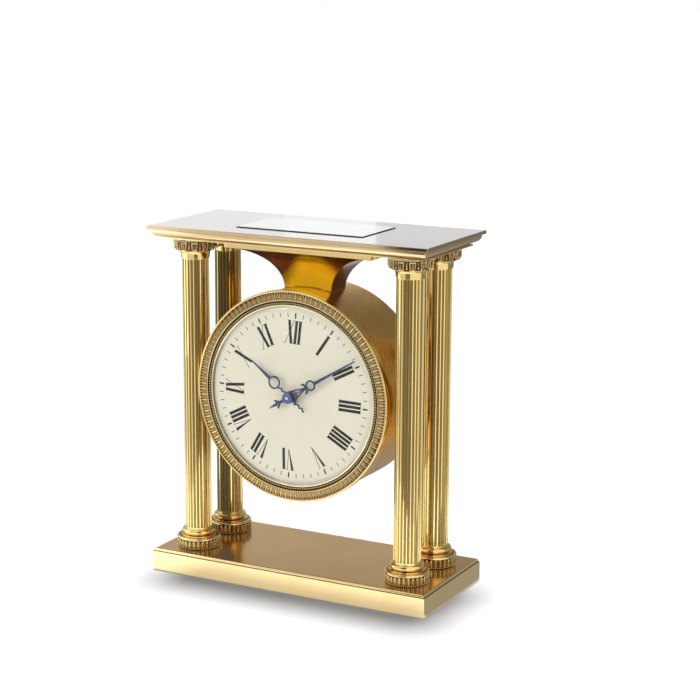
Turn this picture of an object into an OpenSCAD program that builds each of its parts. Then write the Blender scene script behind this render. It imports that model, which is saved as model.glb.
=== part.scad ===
// Desk clock with a round drum hung between four fluted brass columns.
// X runs to the right, Y to the back and Z up. The origin is the centre of the base, on the table.

/* [Frame] */
// Overall height from the table to the top of the cornice
clock_h = 215; // [205:1:230]
// Height of the whole base plate
base_h = 13.6; // [12:0.2:18]
// Height of the plain upright face of the base
base_face_h = 11.8; // [8:0.1:12.2]
// How far the edge moulding of the base runs inwards
base_edge_in = 2.0; // [1.5:0.1:3.8]
// Base beyond the column feet, to each side
base_margin_x = 7.3; // [5:0.1:14]
// Base beyond the column feet, to the front and back
base_margin_y = 7.0; // [5:0.1:14]
// Thickness of the felt under the base
felt_t = 1.0; // [0.6:0.1:1.4]
// Plain border around the felt
felt_border = 3.0; // [2:0.5:6]
// Height of the cornice
cornice_h = 6.4; // [6:0.1:9]
// Height of the flat band along the cornice's upper edge
fascia_h = 2.1; // [1:0.1:2.4]
// How far the cornice's moulding runs inwards
cornice_in = 4.6; // [2.5:0.1:6]
// How far the flat band stands out over the moulding
fascia_out = 1.9; // [0.6:0.1:2.2]
// Cornice beyond the capitals, to each side
cornice_margin_x = 6.75; // [5:0.05:12]
// Cornice beyond the capitals, to the front and back
cornice_margin_y = 7.9; // [6:0.1:12]
// Thickness of the plate that the columns carry
lintel_h = 2.0; // [1.8:0.1:3.5]
// Lintel beyond the capitals, to each side
lintel_margin_x = 2.0; // [0.5:0.1:3]
// Lintel behind the capitals' front, so that their beads show
lintel_setback_y = 0.45; // [0:0.05:1]

/* [Columns] */
// Diameter of a fluted shaft
shaft_d = 15.74; // [14:0.1:17]
// Number of flutes around a shaft
flute_count = 24; // [16:1:28]
// Width of one flute
flute_w = 1.5; // [0.9:0.05:1.6]
// Distance between the front and back columns
column_pitch_y = 37.6; // [32:0.2:48]
// Free space between the drum and a shaft
drum_side_gap = 1.83; // [1.6:0.05:6]
// Diameter of the leaf ring at a column's foot
foot_d = 27.6; // [25:0.1:28.5]
// Height of the leaf ring at a column's foot
foot_h = 7.1; // [5.5:0.1:9]
// Height of the polished torus above the leaf ring
torus_h = 5.0; // [4:0.1:7]
// How far the torus bulges beyond the shaft
torus_bulge = 2.5; // [1.8:0.1:3.2]
// Diameter of a capital
capital_d = 27.5; // [25:0.1:28.5]
// Height of a capital
capital_h = 6.9; // [6:0.1:11]
// Height of the polished necking under a capital
necking_h = 5.0; // [3.5:0.1:6]
// Diameter of the tie rod inside a column
tie_rod_d = 5.0; // [4:0.5:6]
// Width across the flats of a tie rod's nut
nut_af = 8.0; // [7.5:0.5:9]
// Height of a tie rod's nut
nut_h = 4.0; // [3:0.1:4.2]

/* [Hanger] */
// Width of the soffit plate under the lintel
soffit_w = 98; // [86:1:102]
// Depth of the soffit plate under the lintel
soffit_d = 46.7; // [42:0.1:54]
// Thickness of the soffit plate
soffit_h = 4.0; // [3:0.1:6]
// Width of the neck where it meets the drum
neck_w = 31.2; // [28:0.2:40]
// Depth of the neck where it meets the drum
neck_d = 18.6; // [17:0.2:26]
// Height from the drum's axis to the underside of the soffit
hang_drop = 84.0; // [80:0.5:96]
// Diameter of the wire channel through the neck
channel_d = 5.0; // [4:0.5:6]
// Diameter of the wire from the solar cell
lead_d = 2.4; // [1.5:0.1:3]
// Diameter of the screws of the hanger
hanger_screw_d = 4.0; // [3:0.5:4]

/* [Solar panel] */
// Width of the glass over the solar cell
solar_w = 84.0; // [70:1:95]
// Depth of the glass over the solar cell
solar_d = 42.35; // [36:0.5:50]
// Distance from the cornice's middle back to the panel's middle
solar_shift_y = 0.7; // [-1:0.1:2]
// Thickness of the solar glass
solar_glass_t = 2.5; // [2:0.1:2.8]
// Height of the solar glass above the cornice
solar_proud = 0.5; // [0.2:0.1:1]
// Wall of the tray around the solar glass
solar_wall = 0.45; // [0.4:0.05:1]

/* [Drum] */
// Outer diameter of the drum
drum_d = 124.4; // [120:0.2:128]
// Length of the drum without its bezel
drum_len = 48.0; // [46:0.5:56]
// Distance from the columns' middle plane forward to the drum's front edge
drum_front = 26.0; // [24:0.5:28]
// Wall of the drum
drum_wall = 2.2; // [1.6:0.1:2.8]
// Width of the ledges inside the drum
ledge_w = 6.0; // [5.5:0.1:7]
// Thickness of the ledges inside the drum
ledge_t = 3.0; // [2:0.1:4]
// Thickness of the rear cover
cover_t = 2.0; // [1.6:0.1:3]
// How far the bezel stands out around the drum
bezel_lip = 1.3; // [0.6:0.1:1.5]
// Thickness of the bezel
bezel_t = 4.8; // [4.4:0.1:6.5]
// Width of the plain rim of the bezel
bezel_rim_w = 1.2; // [0.8:0.1:1.8]
// Width of the leaf band on the bezel
leaf_band_w = 5.2; // [4:0.1:5.4]
// Diameter of one bead on the bezel
bead_d = 1.5; // [1.2:0.05:1.6]
// Width of the smooth ring around the crystal
sight_w = 0.75; // [0.6:0.05:1]
// Thickness of the crystal
crystal_t = 1.3; // [1:0.1:1.6]
// Height of the crystal's crown above its edge
crystal_rise = 8.5; // [7.5:0.1:9]
// Radius of the bend at the crystal's edge
crystal_bend_r = 4.0; // [3:0.1:5]
// Thickness of the dial
dial_t = 0.8; // [0.5:0.1:1.2]

/* [Hands] */
// Length of the hour hand from its axis to its tip
hour_len = 32.0; // [26:0.5:36]
// Outer diameter of the ring in the hour hand
hour_ring_d = 7.9; // [6:0.1:8.2]
// Distance of the hour hand's ring from the axis
hour_ring_at = 12.9; // [12:0.1:15]
// Length of the wavy tail of the hour hand
hour_tail = 12.6; // [10:0.1:14]
// Length of the minute hand from its axis to its tip
minute_len = 50.0; // [44:0.5:50.5]
// Outer diameter of the ring in the minute hand
minute_ring_d = 6.4; // [5:0.1:6.8]
// Distance of the minute hand's ring from the axis
minute_ring_at = 17.4; // [16.5:0.1:19]
// Length of the pointed tail of the minute hand
minute_tail = 15.8; // [13:0.1:18]
// Width of the metal in the rings of the hands
hand_band = 0.95; // [0.5:0.05:1.2]
// Thickness of the hands
hand_t = 0.45; // [0.3:0.05:0.6]
// Minutes past twelve that the hands show
shown_minutes = 609.3; // [0:0.1:719.9]
// Angle by which the whole dial sits turned in its bezel
dial_turn = 2.9; // [-4:0.1:4]

/* [Motion work] */
// Diameter of the centre arbor
arbor_d = 3.0; // [2.4:0.1:3]
// Wall of the cannon pinion's pipe
cannon_wall = 0.7; // [0.5:0.05:0.8]
// Wall of the hour wheel's pipe
hour_pipe_wall = 0.65; // [0.5:0.05:0.9]
// Free space around a part that turns on a post or pipe
running_gap = 0.06; // [0.03:0.01:0.09]
// Teeth of the cannon pinion
cannon_teeth = 12; // [12:1:12]
// Teeth of the minute wheel
minute_wheel_teeth = 36; // [36:1:36]
// Teeth of the minute wheel's pinion
minute_pinion_teeth = 10; // [10:1:10]
// Teeth of the hour wheel
hour_wheel_teeth = 40; // [40:1:40]
// Distance between the centre arbor and the minute wheel's post
train_pitch = 12.0; // [12:0.1:13]
// Thickness of a toothed wheel
wheel_t = 1.0; // [0.8:0.1:1.2]
// Diameter of the post that carries the minute wheel
post_d = 2.0; // [1.6:0.1:2]
// Angle of the post around the centre arbor
post_angle = 215; // [0:5:355]

/* [Movement] */
// Distance from the dial's back to the plate behind it
motion_space = 7.4; // [7.2:0.1:9]
// Thickness of the plate that carries the movement
plate_t = 2.0; // [1.5:0.1:3]
// Width of the movement's case
case_w = 64; // [50:1:70]
// Height of the movement's case
case_h = 56; // [44:1:60]
// Depth of the movement's case
case_t = 14; // [10:0.5:16]
// Thickness of the lid on the movement's case
lid_t = 1.5; // [1:0.1:2.5]
// Diameter of the rechargeable cell
cell_d = 14.2; // [10.5:0.1:14.5]
// Length of the rechargeable cell
cell_len = 50; // [40:0.5:52]
// Wall of the cell's holder
holder_wall = 1.2; // [0.8:0.1:2]
// Diameter of the setting knob
knob_d = 18; // [14:0.5:24]
// Height of the setting knob
knob_h = 9; // [6:0.5:11]
// Grooves around the setting knob
knob_grooves = 36; // [24:1:44]
// Diameter of the small screws
screw_d = 2.5; // [2:0.1:2.5]

/* [Hidden] */
$fn = 96;

// Space left between fixed pieces that fit into each other
fit_gap = 0.1;
// Wider than a shank by this, a hole holds it without play
press_play = 0.04;
// A little more than a cut needs, so that it comes out clean
over = 1;

// Radii of the column pieces
shaft_r = shaft_d / 2;
foot_r = foot_d / 2;
capital_r = capital_d / 2;
rod_hole_d = tie_rod_d + 2 * fit_gap;

// Places of the columns, which stand clear of the drum
drum_r = drum_d / 2;
column_x = drum_r + drum_side_gap + shaft_r;
column_y = column_pitch_y / 2;
sides = [["front_left", -1, -1], ["front_right", 1, -1], ["back_left", -1, 1], ["back_right", 1, 1]];

// Half widths and half depths of the plates
base_half = [column_x + foot_r + base_margin_x, column_y + foot_r + base_margin_y];
cornice_half = [column_x + capital_r + cornice_margin_x, column_y + capital_r + cornice_margin_y];
lintel_half = [column_x + capital_r + lintel_margin_x, column_y + capital_r - lintel_setback_y];

// Heights of the pieces above each other
cornice_z = clock_h - cornice_h;
lintel_z = cornice_z - lintel_h;
soffit_z = lintel_z - soffit_h;
torus_z = base_h + foot_h;
shaft_z = torus_z + torus_h;
capital_z = lintel_z - capital_h;
necking_z = capital_z - necking_h;
axis_z = soffit_z - hang_drop;

// Depths inside the drum, measured forward from the middle plane of the columns
drum_rear = drum_front - drum_len;
bezel_front = drum_front + bezel_t;
leaf_floor = bezel_front - 0.7;
bead_floor = bezel_front - 1.5;
dial_front = bezel_front - 2.6;
dial_rear = dial_front - dial_t;
plate_front = dial_rear - motion_space;
plate_rear = plate_front - plate_t;
case_rear = plate_rear - case_t;
lid_rear = case_rear - lid_t;
knob_front = drum_rear - 0.5;

// Radii inside the drum
drum_bore_r = drum_r - drum_wall;
ledge_r = drum_bore_r - ledge_w;
ledge_screw_r = drum_bore_r - ledge_w / 2;
bezel_r = drum_r + bezel_lip;
leaf_outer_r = bezel_r - bezel_rim_w;
leaf_inner_r = leaf_outer_r - leaf_band_w;
bead_groove_w = 2.45;
sight_outer_r = leaf_inner_r - bead_groove_w;
sight_inner_r = sight_outer_r - sight_w;
bead_at_r = sight_outer_r + bead_groove_w / 2;
dial_r = sight_outer_r + 1.0;
crystal_r = sight_inner_r - 0.4;
crystal_seat = dial_front + 0.2;
crystal_edge = crystal_seat + 0.9;

// The two gear pairs share one distance between centres
cannon_module = 2 * train_pitch / (cannon_teeth + minute_wheel_teeth);
hour_module = 2 * train_pitch / (minute_pinion_teeth + hour_wheel_teeth);
arbor_r = arbor_d / 2;
cannon_r = arbor_r + cannon_wall;
hour_bore_r = cannon_r + running_gap;
hour_pipe_r = hour_bore_r + hour_pipe_wall;
dial_hole_r = hour_pipe_r + 0.5;
post_r = post_d / 2;
post_at = [train_pitch * cos(post_angle), train_pitch * sin(post_angle)];

// Depths of the motion work and the hands
cannon_rise = 0.5;
minute_wheel_rise = 0.8;
hour_wheel_rise = 3.4;
hand_space = 3.0;
hand_boss_h = 0.8;
hand_apart = 0.6;
nut_rise = 1.5;
cannon_z = plate_front + cannon_rise;
minute_wheel_z = plate_front + minute_wheel_rise;
hour_wheel_z = plate_front + hour_wheel_rise;
hour_hand_z = dial_front + hand_space;
hour_pipe_top = hour_hand_z + hand_boss_h;
minute_hand_z = hour_pipe_top + hand_apart;
cannon_top = minute_hand_z + hand_boss_h;

// Angles of the hands, clockwise from the dial's twelve
minute_angle = dial_turn + 6 * (shown_minutes % 60);
hour_angle = dial_turn + shown_minutes / 2;

// Points along an arc of an ellipse with centre c and radii r
function arc(c, r, from, to, steps = 12) =
  [for (i = [0:steps]) let (a = from + (to - from) * i / steps) [c[0] + r[0] * cos(a), c[1] + r[1] * sin(a)]];

// The polar angle of an involute at radius r, from the base circle of radius rb
function involute(rb, r) = r <= rb ? 0 : sqrt(pow(r / rb, 2) - 1) * 180 / PI - acos(rb / r);

// Outline of a gear, with thin teeth so that a pair runs free
function gear_points(teeth, m, tip = 0.92, root = 1.3, play = 0.14, flank_steps = 4) =
  let (
    pitch_r = teeth * m / 2,
    rb = pitch_r * cos(20),
    tip_r = pitch_r + tip * m,
    root_r = pitch_r - root * m,
    start_r = max(rb, root_r + 0.2 * m),
    half = 90 / teeth - play * 90 / (PI * pitch_r) * m + involute(rb, pitch_r),
    radii = [for (i = [0:flank_steps]) start_r + (tip_r - start_r) * i / flank_steps]
  )
  [for (t = [0:teeth - 1]) let (a = 360 * t / teeth) each concat(
    [let (b = a - half - 1 / teeth) [root_r * cos(b), root_r * sin(b)]],
    [for (r = radii) let (b = a - half + involute(rb, r)) [r * cos(b), r * sin(b)]],
    [for (i = [flank_steps:-1:0]) let (r = radii[i], b = a + half - involute(rb, r)) [r * cos(b), r * sin(b)]],
    [let (b = a + half + 1 / teeth) [root_r * cos(b), root_r * sin(b)]]
  )];

// Puts a shape on the drum's axis: its x stays, its y points up and its z points to the front
module on_axis(depth = 0) {
  translate([0, -depth, axis_z]) rotate([90, 0, 0]) children();
}

// Puts a shape on the foot of each column, or of one
module at_columns(z = 0) {
  for (s = sides) translate([s[1] * column_x, s[2] * column_y, z]) children();
}

// A flat plate with a moulded edge: the profile gives the inset at each height
module moulded_plate(half, profile) {
  intersection() {
    rotate([90, 0, 0]) linear_extrude(height = 2 * half[1] + 2 * over, center = true)
      polygon(both_sides(half[0], profile));
    rotate([90, 0, 90]) linear_extrude(height = 2 * half[0] + 2 * over, center = true)
      polygon(both_sides(half[1], profile));
  }
}
function both_sides(half, profile) = concat(
  [for (p = profile) [half - p[0], p[1]]],
  [for (i = [len(profile) - 1:-1:0]) [profile[i][0] - half, profile[i][1]]]
);

// A round hole through a piece of thickness h that stands on z = 0
module hole(h, d) {
  translate([0, 0, -over]) cylinder(h = h + 2 * over, d = d, $fn = 48);
}

// A screw with a flat round head, its shank pointing down from z = 0
module screw(d, len, head_h = 1.4) {
  cylinder(h = head_h, d = 1.8 * d, $fn = 32);
  translate([0, 0, -len]) cylinder(h = len, d = d, $fn = 32);
}

// A screw whose tapered head sits flush, with its top at z = 0
module flush_screw(d, len) {
  rotate_extrude($fn = 48) polygon([[0, 0], [d, 0], [d / 2, -d / 2], [d / 2, -len], [0, -len]]);
}
module flush_hole(d, len) {
  translate([0, 0, -len - over]) cylinder(h = len + 2 * over, d = d + 2 * fit_gap, $fn = 48);
  translate([0, 0, -d / 2]) cylinder(h = d / 2 + fit_gap, r1 = d / 2 + fit_gap, r2 = d + 2 * fit_gap, $fn = 48);
}

// Base
nut_well_top = felt_t + 7;
nut_well_d = 13;
washer_t = 1.0;
module base_plate() {
  quirk = 0.7;
  color("gold") difference() {
    moulded_plate(base_half, concat(
      [[0, 0], [0, base_face_h], [quirk, base_face_h], [quirk, base_face_h + 0.45]],
      arc([base_edge_in, base_face_h + 0.45], [base_edge_in - quirk, base_h - base_face_h - 0.45], 180, 90)
    ));
    felt_block(felt_border, over);
    at_columns() {
      translate([0, 0, -over]) cylinder(h = base_h + 2 * over, d = rod_hole_d);
      cylinder(h = nut_well_top, d = nut_well_d);
    }
  }
}
module felt_block(border, below) {
  size = [2 * (base_half[0] - border), 2 * (base_half[1] - border)];
  translate([-size[0] / 2, -size[1] / 2, -below]) cube([size[0], size[1], felt_t + below]);
}
module base_felt() {
  color("darkgreen") felt_block(felt_border + 0.3, 0);
}

// Tie rods that hold the base, the columns and the lintel together
rod_bottom = felt_t + 1;
module tie_rods() {
  color("silver") at_columns(rod_bottom) cylinder(h = lintel_z + lintel_h - 0.2 - rod_bottom, d = tie_rod_d);
}
module tie_rod_nuts() {
  color("silver") at_columns() difference() {
    union() {
      translate([0, 0, nut_well_top - washer_t]) cylinder(h = washer_t, d = 11);
      translate([0, 0, nut_well_top - washer_t - nut_h]) cylinder(h = nut_h, d = nut_af / cos(30), $fn = 6);
    }
    cylinder(h = nut_well_top + over, d = tie_rod_d + press_play);
  }
}

// Column pieces, each drawn around its own axis from its own foot
module foot_ring() {
  lip_r = foot_r - 0.3;
  band_r = foot_r - 0.6;
  bead_h = 1.1;
  band_top = foot_h - 1.3;
  lip_round = 1.2;
  color("goldenrod") rotate_extrude() polygon(concat(
    [[rod_hole_d / 2, 0], [foot_r - 0.1, 0]],
    arc([foot_r - bead_h / 2, bead_h / 2], [bead_h / 2, bead_h / 2], -60, 60, 6),
    [[band_r, bead_h + 0.1], [band_r, band_top]],
    arc([lip_r - lip_round, band_top], [lip_round, foot_h - band_top], 0, 90, 8),
    [[torus_step_r + 0.9, foot_h], [torus_step_r + 0.7, foot_h - 0.6], [torus_step_r + 0.1, foot_h - 0.6]],
    [[torus_step_r - 0.2, foot_h], [rod_hole_d / 2, foot_h]]
  ));
}
torus_step_h = 0.7;
torus_step_r = shaft_r + torus_bulge + 0.8;
module foot_torus() {
  bulge_h = torus_h - torus_step_h - 0.6;
  bulge_r = bulge_h / 2;
  torus_at = shaft_r + torus_bulge - bulge_r;
  color("gold") rotate_extrude() polygon(concat(
    [[rod_hole_d / 2, 0], [torus_step_r - 0.2, 0], [torus_step_r, 0.2], [torus_step_r, torus_step_h - 0.2],
     [torus_step_r - 0.2, torus_step_h], [torus_at, torus_step_h + 0.1]],
    arc([torus_at, torus_step_h + 0.1 + bulge_r], [bulge_r, bulge_r], -80, 80, 16),
    [[shaft_r + 0.9, torus_step_h + 0.1 + bulge_h], [shaft_r + 0.9, torus_h - 0.2], [shaft_r + 0.7, torus_h],
     [rod_hole_d / 2, torus_h]]
  ));
}
module shaft() {
  color("goldenrod") linear_extrude(height = necking_z - shaft_z) difference() {
    circle(r = shaft_r);
    circle(d = rod_hole_d);
    for (i = [0:flute_count - 1]) rotate(360 * i / flute_count) translate([shaft_r, 0])
      circle(d = flute_w, $fn = 24);
  }
}
fillet_h = 0.8;
fillet_r = shaft_r + 2.4;
module necking() {
  collar_r = shaft_r + 0.75;
  cove_top_r = shaft_r + 1.9;
  cove_h = necking_h - fillet_h - 0.4;
  color("gold") rotate_extrude() polygon(concat(
    [[rod_hole_d / 2, 0], [collar_r - 0.2, 0], [collar_r, 0.2]],
    arc([cove_top_r, 0.4], [cove_top_r - collar_r, cove_h], 180, 100, 10),
    [[fillet_r - 0.2, necking_h - fillet_h]],
    arc([fillet_r - fillet_h / 2, necking_h - fillet_h / 2], [fillet_h / 2, fillet_h / 2], -60, 60, 6),
    [[rod_hole_d / 2, necking_h]]
  ));
}
module capital() {
  bead_h = 1.2;
  band_r = capital_r - 0.4;
  echinus_h = 1.7;
  color("goldenrod") rotate_extrude() polygon(concat(
    [[rod_hole_d / 2, 0]],
    arc([fillet_r + 0.1, echinus_h], [band_r - fillet_r - 0.1, echinus_h], -90, 0, 12),
    [[band_r, capital_h - bead_h - 0.1]],
    arc([capital_r - bead_h / 2, capital_h - bead_h / 2], [bead_h / 2, bead_h / 2], -60, 60, 6),
    [[capital_r - 0.2, capital_h], [rod_hole_d / 2, capital_h]]
  ));
}
module one_column_piece(part, place) {
  s = sides[place];
  translate([s[1] * column_x, s[2] * column_y, 0]) {
    if (part == "foot_ring") translate([0, 0, base_h]) foot_ring();
    if (part == "foot_torus") translate([0, 0, torus_z]) foot_torus();
    if (part == "shaft") translate([0, 0, shaft_z]) shaft();
    if (part == "necking") translate([0, 0, necking_z]) necking();
    if (part == "capital") translate([0, 0, capital_z]) capital();
  }
}

// Lintel and cornice
cornice_screw_at = [soffit_w / 2 + 5, column_y - 7];
soffit_screw_at = [neck_w / 2 + 4.4, neck_d / 2 - 1.3];
channel_y = -neck_d / 2 + channel_d / 2 + 1.8;
module mirrored_four(at) {
  for (sx = [-1, 1], sy = [-1, 1]) translate([sx * at[0], sy * at[1], 0]) children();
}
module wire_channel(from, to, d = channel_d) {
  translate([0, channel_y, from]) cylinder(h = to - from, d = d, $fn = 48);
}
module lintel_plate() {
  shadow = 1.2;
  color("goldenrod") difference() {
    translate([0, 0, lintel_z]) moulded_plate(lintel_half, [
      [0.15, 0], [0, 0.15], [0, lintel_h / 2], [shadow, lintel_h / 2 + 0.1], [shadow, lintel_h]
    ]);
    at_columns(lintel_z - over) cylinder(h = lintel_h + 2 * over, d = tie_rod_d + press_play);
    mirrored_four(soffit_screw_at) translate([0, 0, lintel_z + lintel_h]) flush_hole(hanger_screw_d, lintel_h);
    mirrored_four(cornice_screw_at) translate([0, 0, lintel_z]) mirror([0, 0, 1]) flush_hole(screw_d, lintel_h);
    wire_channel(lintel_z - over, cornice_z + over);
  }
}
solar_inner = [solar_w + fit_gap, solar_d + fit_gap];
solar_outer = [solar_inner[0] + 2 * solar_wall, solar_inner[1] + 2 * solar_wall];
cell_t = 1.0;
tray_floor = 0.6;
tray_h = solar_glass_t - solar_proud + cell_t + tray_floor;
tray_z = clock_h - tray_h;
cornice_grip = 1.8;
cornice_screw_len = lintel_h + cornice_grip;
module solar_block(size, from, to) {
  translate([-size[0] / 2, solar_shift_y - size[1] / 2, from]) cube([size[0], size[1], to - from]);
}
module cornice() {
  ovolo_h = cornice_h - fascia_h - 0.2;
  color("gold") difference() {
    translate([0, 0, cornice_z]) moulded_plate(cornice_half, concat(
      arc([cornice_in, ovolo_h], [cornice_in - fascia_out, ovolo_h], 270, 180),
      [[fascia_out, ovolo_h + 0.2], [0.25, ovolo_h + 0.2]],
      arc([0.5, ovolo_h + 0.45], [0.5, 0.25], 180, 180, 1),
      [[0, cornice_h - 0.5], [0.15, cornice_h - 0.15], [0.5, cornice_h]]
    ));
    solar_block([solar_outer[0] + fit_gap, solar_outer[1] + fit_gap], tray_z, clock_h + over);
    wire_channel(cornice_z - over, tray_z + over);
    mirrored_four(cornice_screw_at) translate([0, 0, cornice_z - over])
      cylinder(h = cornice_screw_len - lintel_h + over + fit_gap, d = screw_d + press_play, $fn = 48);
  }
}
module cornice_screws() {
  color("gold") mirrored_four(cornice_screw_at)
    translate([0, 0, lintel_z]) mirror([0, 0, 1]) flush_screw(screw_d, cornice_screw_len);
}

// Hanger: the soffit plate and the neck that carries the drum
saddle_gap = 0.05;
neck_foot_z = axis_z + sqrt(pow(drum_r, 2) - pow(neck_w / 2, 2));
neck_grip = 6;
soffit_screw_len = lintel_h + soffit_h + neck_grip;
neck_screw_x = neck_w / 2 - 6.4;
neck_screw_y = 2.6;
neck_screw_z = axis_z + sqrt(pow(drum_bore_r, 2) - pow(neck_screw_x + 0.9 * hanger_screw_d, 2)) - 0.1;
neck_screw_len = drum_wall + 2 * neck_grip;
module soffit_plate() {
  color("gold") difference() {
    translate([-soffit_w / 2, -soffit_d / 2, soffit_z]) cube([soffit_w, soffit_d, soffit_h]);
    mirrored_four(soffit_screw_at) translate([0, 0, soffit_z - over])
      cylinder(h = soffit_h + 2 * over, d = hanger_screw_d + 2 * fit_gap, $fn = 48);
    wire_channel(soffit_z - over, lintel_z + over);
  }
}
function cove(waist, top, h) = concat(
  [[waist, -6]],
  arc([top, 0], [top - waist, h], 180, 90, 32)
);
module neck_side(waist, top, length) {
  side = cove(waist, top, soffit_z - neck_foot_z);
  rotate([90, 0, 0]) linear_extrude(height = length, center = true)
    polygon(concat(side, [for (i = [len(side) - 1:-1:0]) [-side[i][0], side[i][1]]]));
}
module neck() {
  color("orange") difference() {
    translate([0, 0, neck_foot_z]) intersection() {
      neck_side(neck_w / 2, soffit_w / 2, 2 * soffit_d);
      rotate([0, 0, 90]) neck_side(neck_d / 2, soffit_d / 2, 2 * soffit_w);
    }
    on_axis() cylinder(h = 4 * neck_d, r = drum_r + saddle_gap, center = true, $fn = 192);
    wire_channel(axis_z, soffit_z + over);
    mirrored_four(soffit_screw_at) translate([0, 0, lintel_z + lintel_h - soffit_screw_len - fit_gap])
      cylinder(h = soffit_screw_len, d = hanger_screw_d + press_play, $fn = 48);
    neck_screw_places() translate([0, 0, -over])
      cylinder(h = neck_screw_len + over + fit_gap, d = hanger_screw_d + press_play, $fn = 48);
  }
}
module soffit_screws() {
  color("silver") mirrored_four(soffit_screw_at)
    translate([0, 0, lintel_z + lintel_h]) flush_screw(hanger_screw_d, soffit_screw_len);
}
module neck_screw_places() {
  for (s = [-1, 1]) translate([s * neck_screw_x, neck_screw_y, neck_screw_z]) children();
}
module neck_screws() {
  color("silver") neck_screw_places() rotate([180, 0, 0]) screw(hanger_screw_d, neck_screw_len, 2.2);
}

// Solar panel in the top of the cornice
module solar_tray() {
  color("black") difference() {
    solar_block(solar_outer, tray_z, clock_h - 0.1);
    solar_block(solar_inner, tray_z + tray_floor, clock_h + over);
    wire_channel(tray_z - over, tray_z + tray_floor + over, lead_d + 2 * fit_gap);
  }
}
module solar_cell() {
  color("midnightblue") solar_block([solar_w, solar_d], tray_z + tray_floor, tray_z + tray_floor + cell_t);
}
module solar_glass() {
  color("lightblue") solar_block([solar_w, solar_d], tray_z + tray_floor + cell_t, clock_h + solar_proud);
}
module solar_lead() {
  color("dimgray") wire_channel(axis_z + case_h / 2, tray_z + tray_floor, lead_d);
}

// Drum
module ledge_screw_places(count, offset) {
  for (i = [0:count - 1]) rotate(offset + 360 * i / count) translate([ledge_screw_r, 0, 0]) children();
}
ledge_screw_len = 4.2;
module drum_shell() {
  color("goldenrod") difference() {
    on_axis(drum_front) mirror([0, 0, 1]) rotate_extrude($fn = 192) polygon([
      [drum_r, 0], [drum_r, drum_len], [drum_bore_r, drum_len], [drum_bore_r, drum_len - cover_t],
      [ledge_r, drum_len - cover_t], [ledge_r, drum_len - cover_t - ledge_t],
      [drum_bore_r, drum_len - cover_t - ledge_t], [drum_bore_r, drum_front - plate_rear + ledge_t],
      [ledge_r, drum_front - plate_rear + ledge_t], [ledge_r, drum_front - plate_rear],
      [drum_bore_r, drum_front - plate_rear], [drum_bore_r, 0]
    ]);
    wire_channel(axis_z, axis_z + drum_r + over);
    neck_screw_places() cylinder(h = 6, d = hanger_screw_d + 2 * fit_gap, $fn = 48);
    on_axis() ledge_screw_places(4, 45) {
      translate([0, 0, plate_rear - ledge_t]) hole(ledge_t, screw_d + press_play);
      translate([0, 0, drum_rear + cover_t]) hole(ledge_t, screw_d + press_play);
    }
  }
}
module rear_cover() {
  boss_r = arbor_r + 3;
  color("gold") on_axis() difference() {
    union() {
      translate([0, 0, drum_rear]) cylinder(h = cover_t, r = drum_bore_r - fit_gap, $fn = 192);
      translate([0, 0, drum_rear]) cylinder(h = cover_t + 2, r = boss_r);
    }
    translate([0, 0, drum_rear]) hole(cover_t + 2, arbor_d + 2 * running_gap);
    ledge_screw_places(4, 45) translate([0, 0, drum_rear]) mirror([0, 0, 1]) flush_hole(screw_d, cover_t);
  }
}
module rear_cover_screws() {
  color("gold") on_axis() ledge_screw_places(4, 45)
    translate([0, 0, drum_rear]) mirror([0, 0, 1]) flush_screw(screw_d, cover_t + ledge_t - 0.4);
}
module bezel() {
  rim_r = bezel_rim_w / 2;
  sight_seat_r = sight_outer_r + press_play / 2;
  color("goldenrod") on_axis() rotate_extrude($fn = 192) polygon(concat(
    [[drum_bore_r - 2, drum_front], [bezel_r - 0.4, drum_front], [bezel_r, drum_front + 0.4]],
    arc([bezel_r - rim_r, bezel_front - rim_r], [rim_r, rim_r], 0, 150, 10),
    [[leaf_outer_r, leaf_floor], [leaf_inner_r + 0.3, leaf_floor], [leaf_inner_r, leaf_floor - 0.2]],
    [[leaf_inner_r - 0.1, bead_floor], [sight_seat_r, bead_floor], [sight_seat_r, dial_front]],
    [[dial_r + fit_gap, dial_front], [dial_r + fit_gap, drum_front]]
  ));
}
module bead_ring() {
  color("goldenrod") on_axis(bead_floor + bead_d / 2) rotate_extrude($fn = 192)
    translate([bead_at_r, 0]) circle(d = bead_d, $fn = 24);
}
module sight_ring() {
  front = bead_floor + 0.8;
  round_r = sight_w / 2;
  rear = crystal_edge + press_play / 2;
  color("gold") on_axis() rotate_extrude($fn = 192) polygon(concat(
    [[sight_inner_r, rear], [sight_outer_r, rear]],
    arc([sight_inner_r + round_r, front - round_r], [round_r, round_r], 0, 180, 10)
  ));
}

// Domed crystal: a flange, an upright wall, a tight bend and a shallow crown
crystal_wall_h = 1.0;
crown_top = crystal_edge + crystal_rise;
bend_at = [crystal_r - crystal_bend_r, crystal_edge + crystal_wall_h];
crown_drop = crown_top - bend_at[1];
crown_span = pow(bend_at[0], 2) + pow(crown_drop, 2) - pow(crystal_bend_r, 2);
crown_r = crown_span / (2 * (crown_drop - crystal_bend_r));
crown_meet = 90 - asin(bend_at[0] / (crown_r - crystal_bend_r));
function crystal_side(inset) = concat(
  arc(bend_at, [crystal_bend_r - inset, crystal_bend_r - inset], 0, crown_meet, 8),
  arc([0, crown_top - crown_r], [crown_r - inset, crown_r - inset], crown_meet, 90, 12)
);
module crystal() {
  inner = crystal_side(crystal_t);
  color("lightcyan") on_axis() rotate_extrude($fn = 192) polygon(concat(
    [[crystal_r - crystal_t, crystal_seat], [sight_outer_r - fit_gap, crystal_seat],
     [sight_outer_r - fit_gap, crystal_edge], [crystal_r, crystal_edge]],
    crystal_side(0),
    [for (i = [len(inner) - 1:-1:0]) inner[i]]
  ));
}
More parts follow.
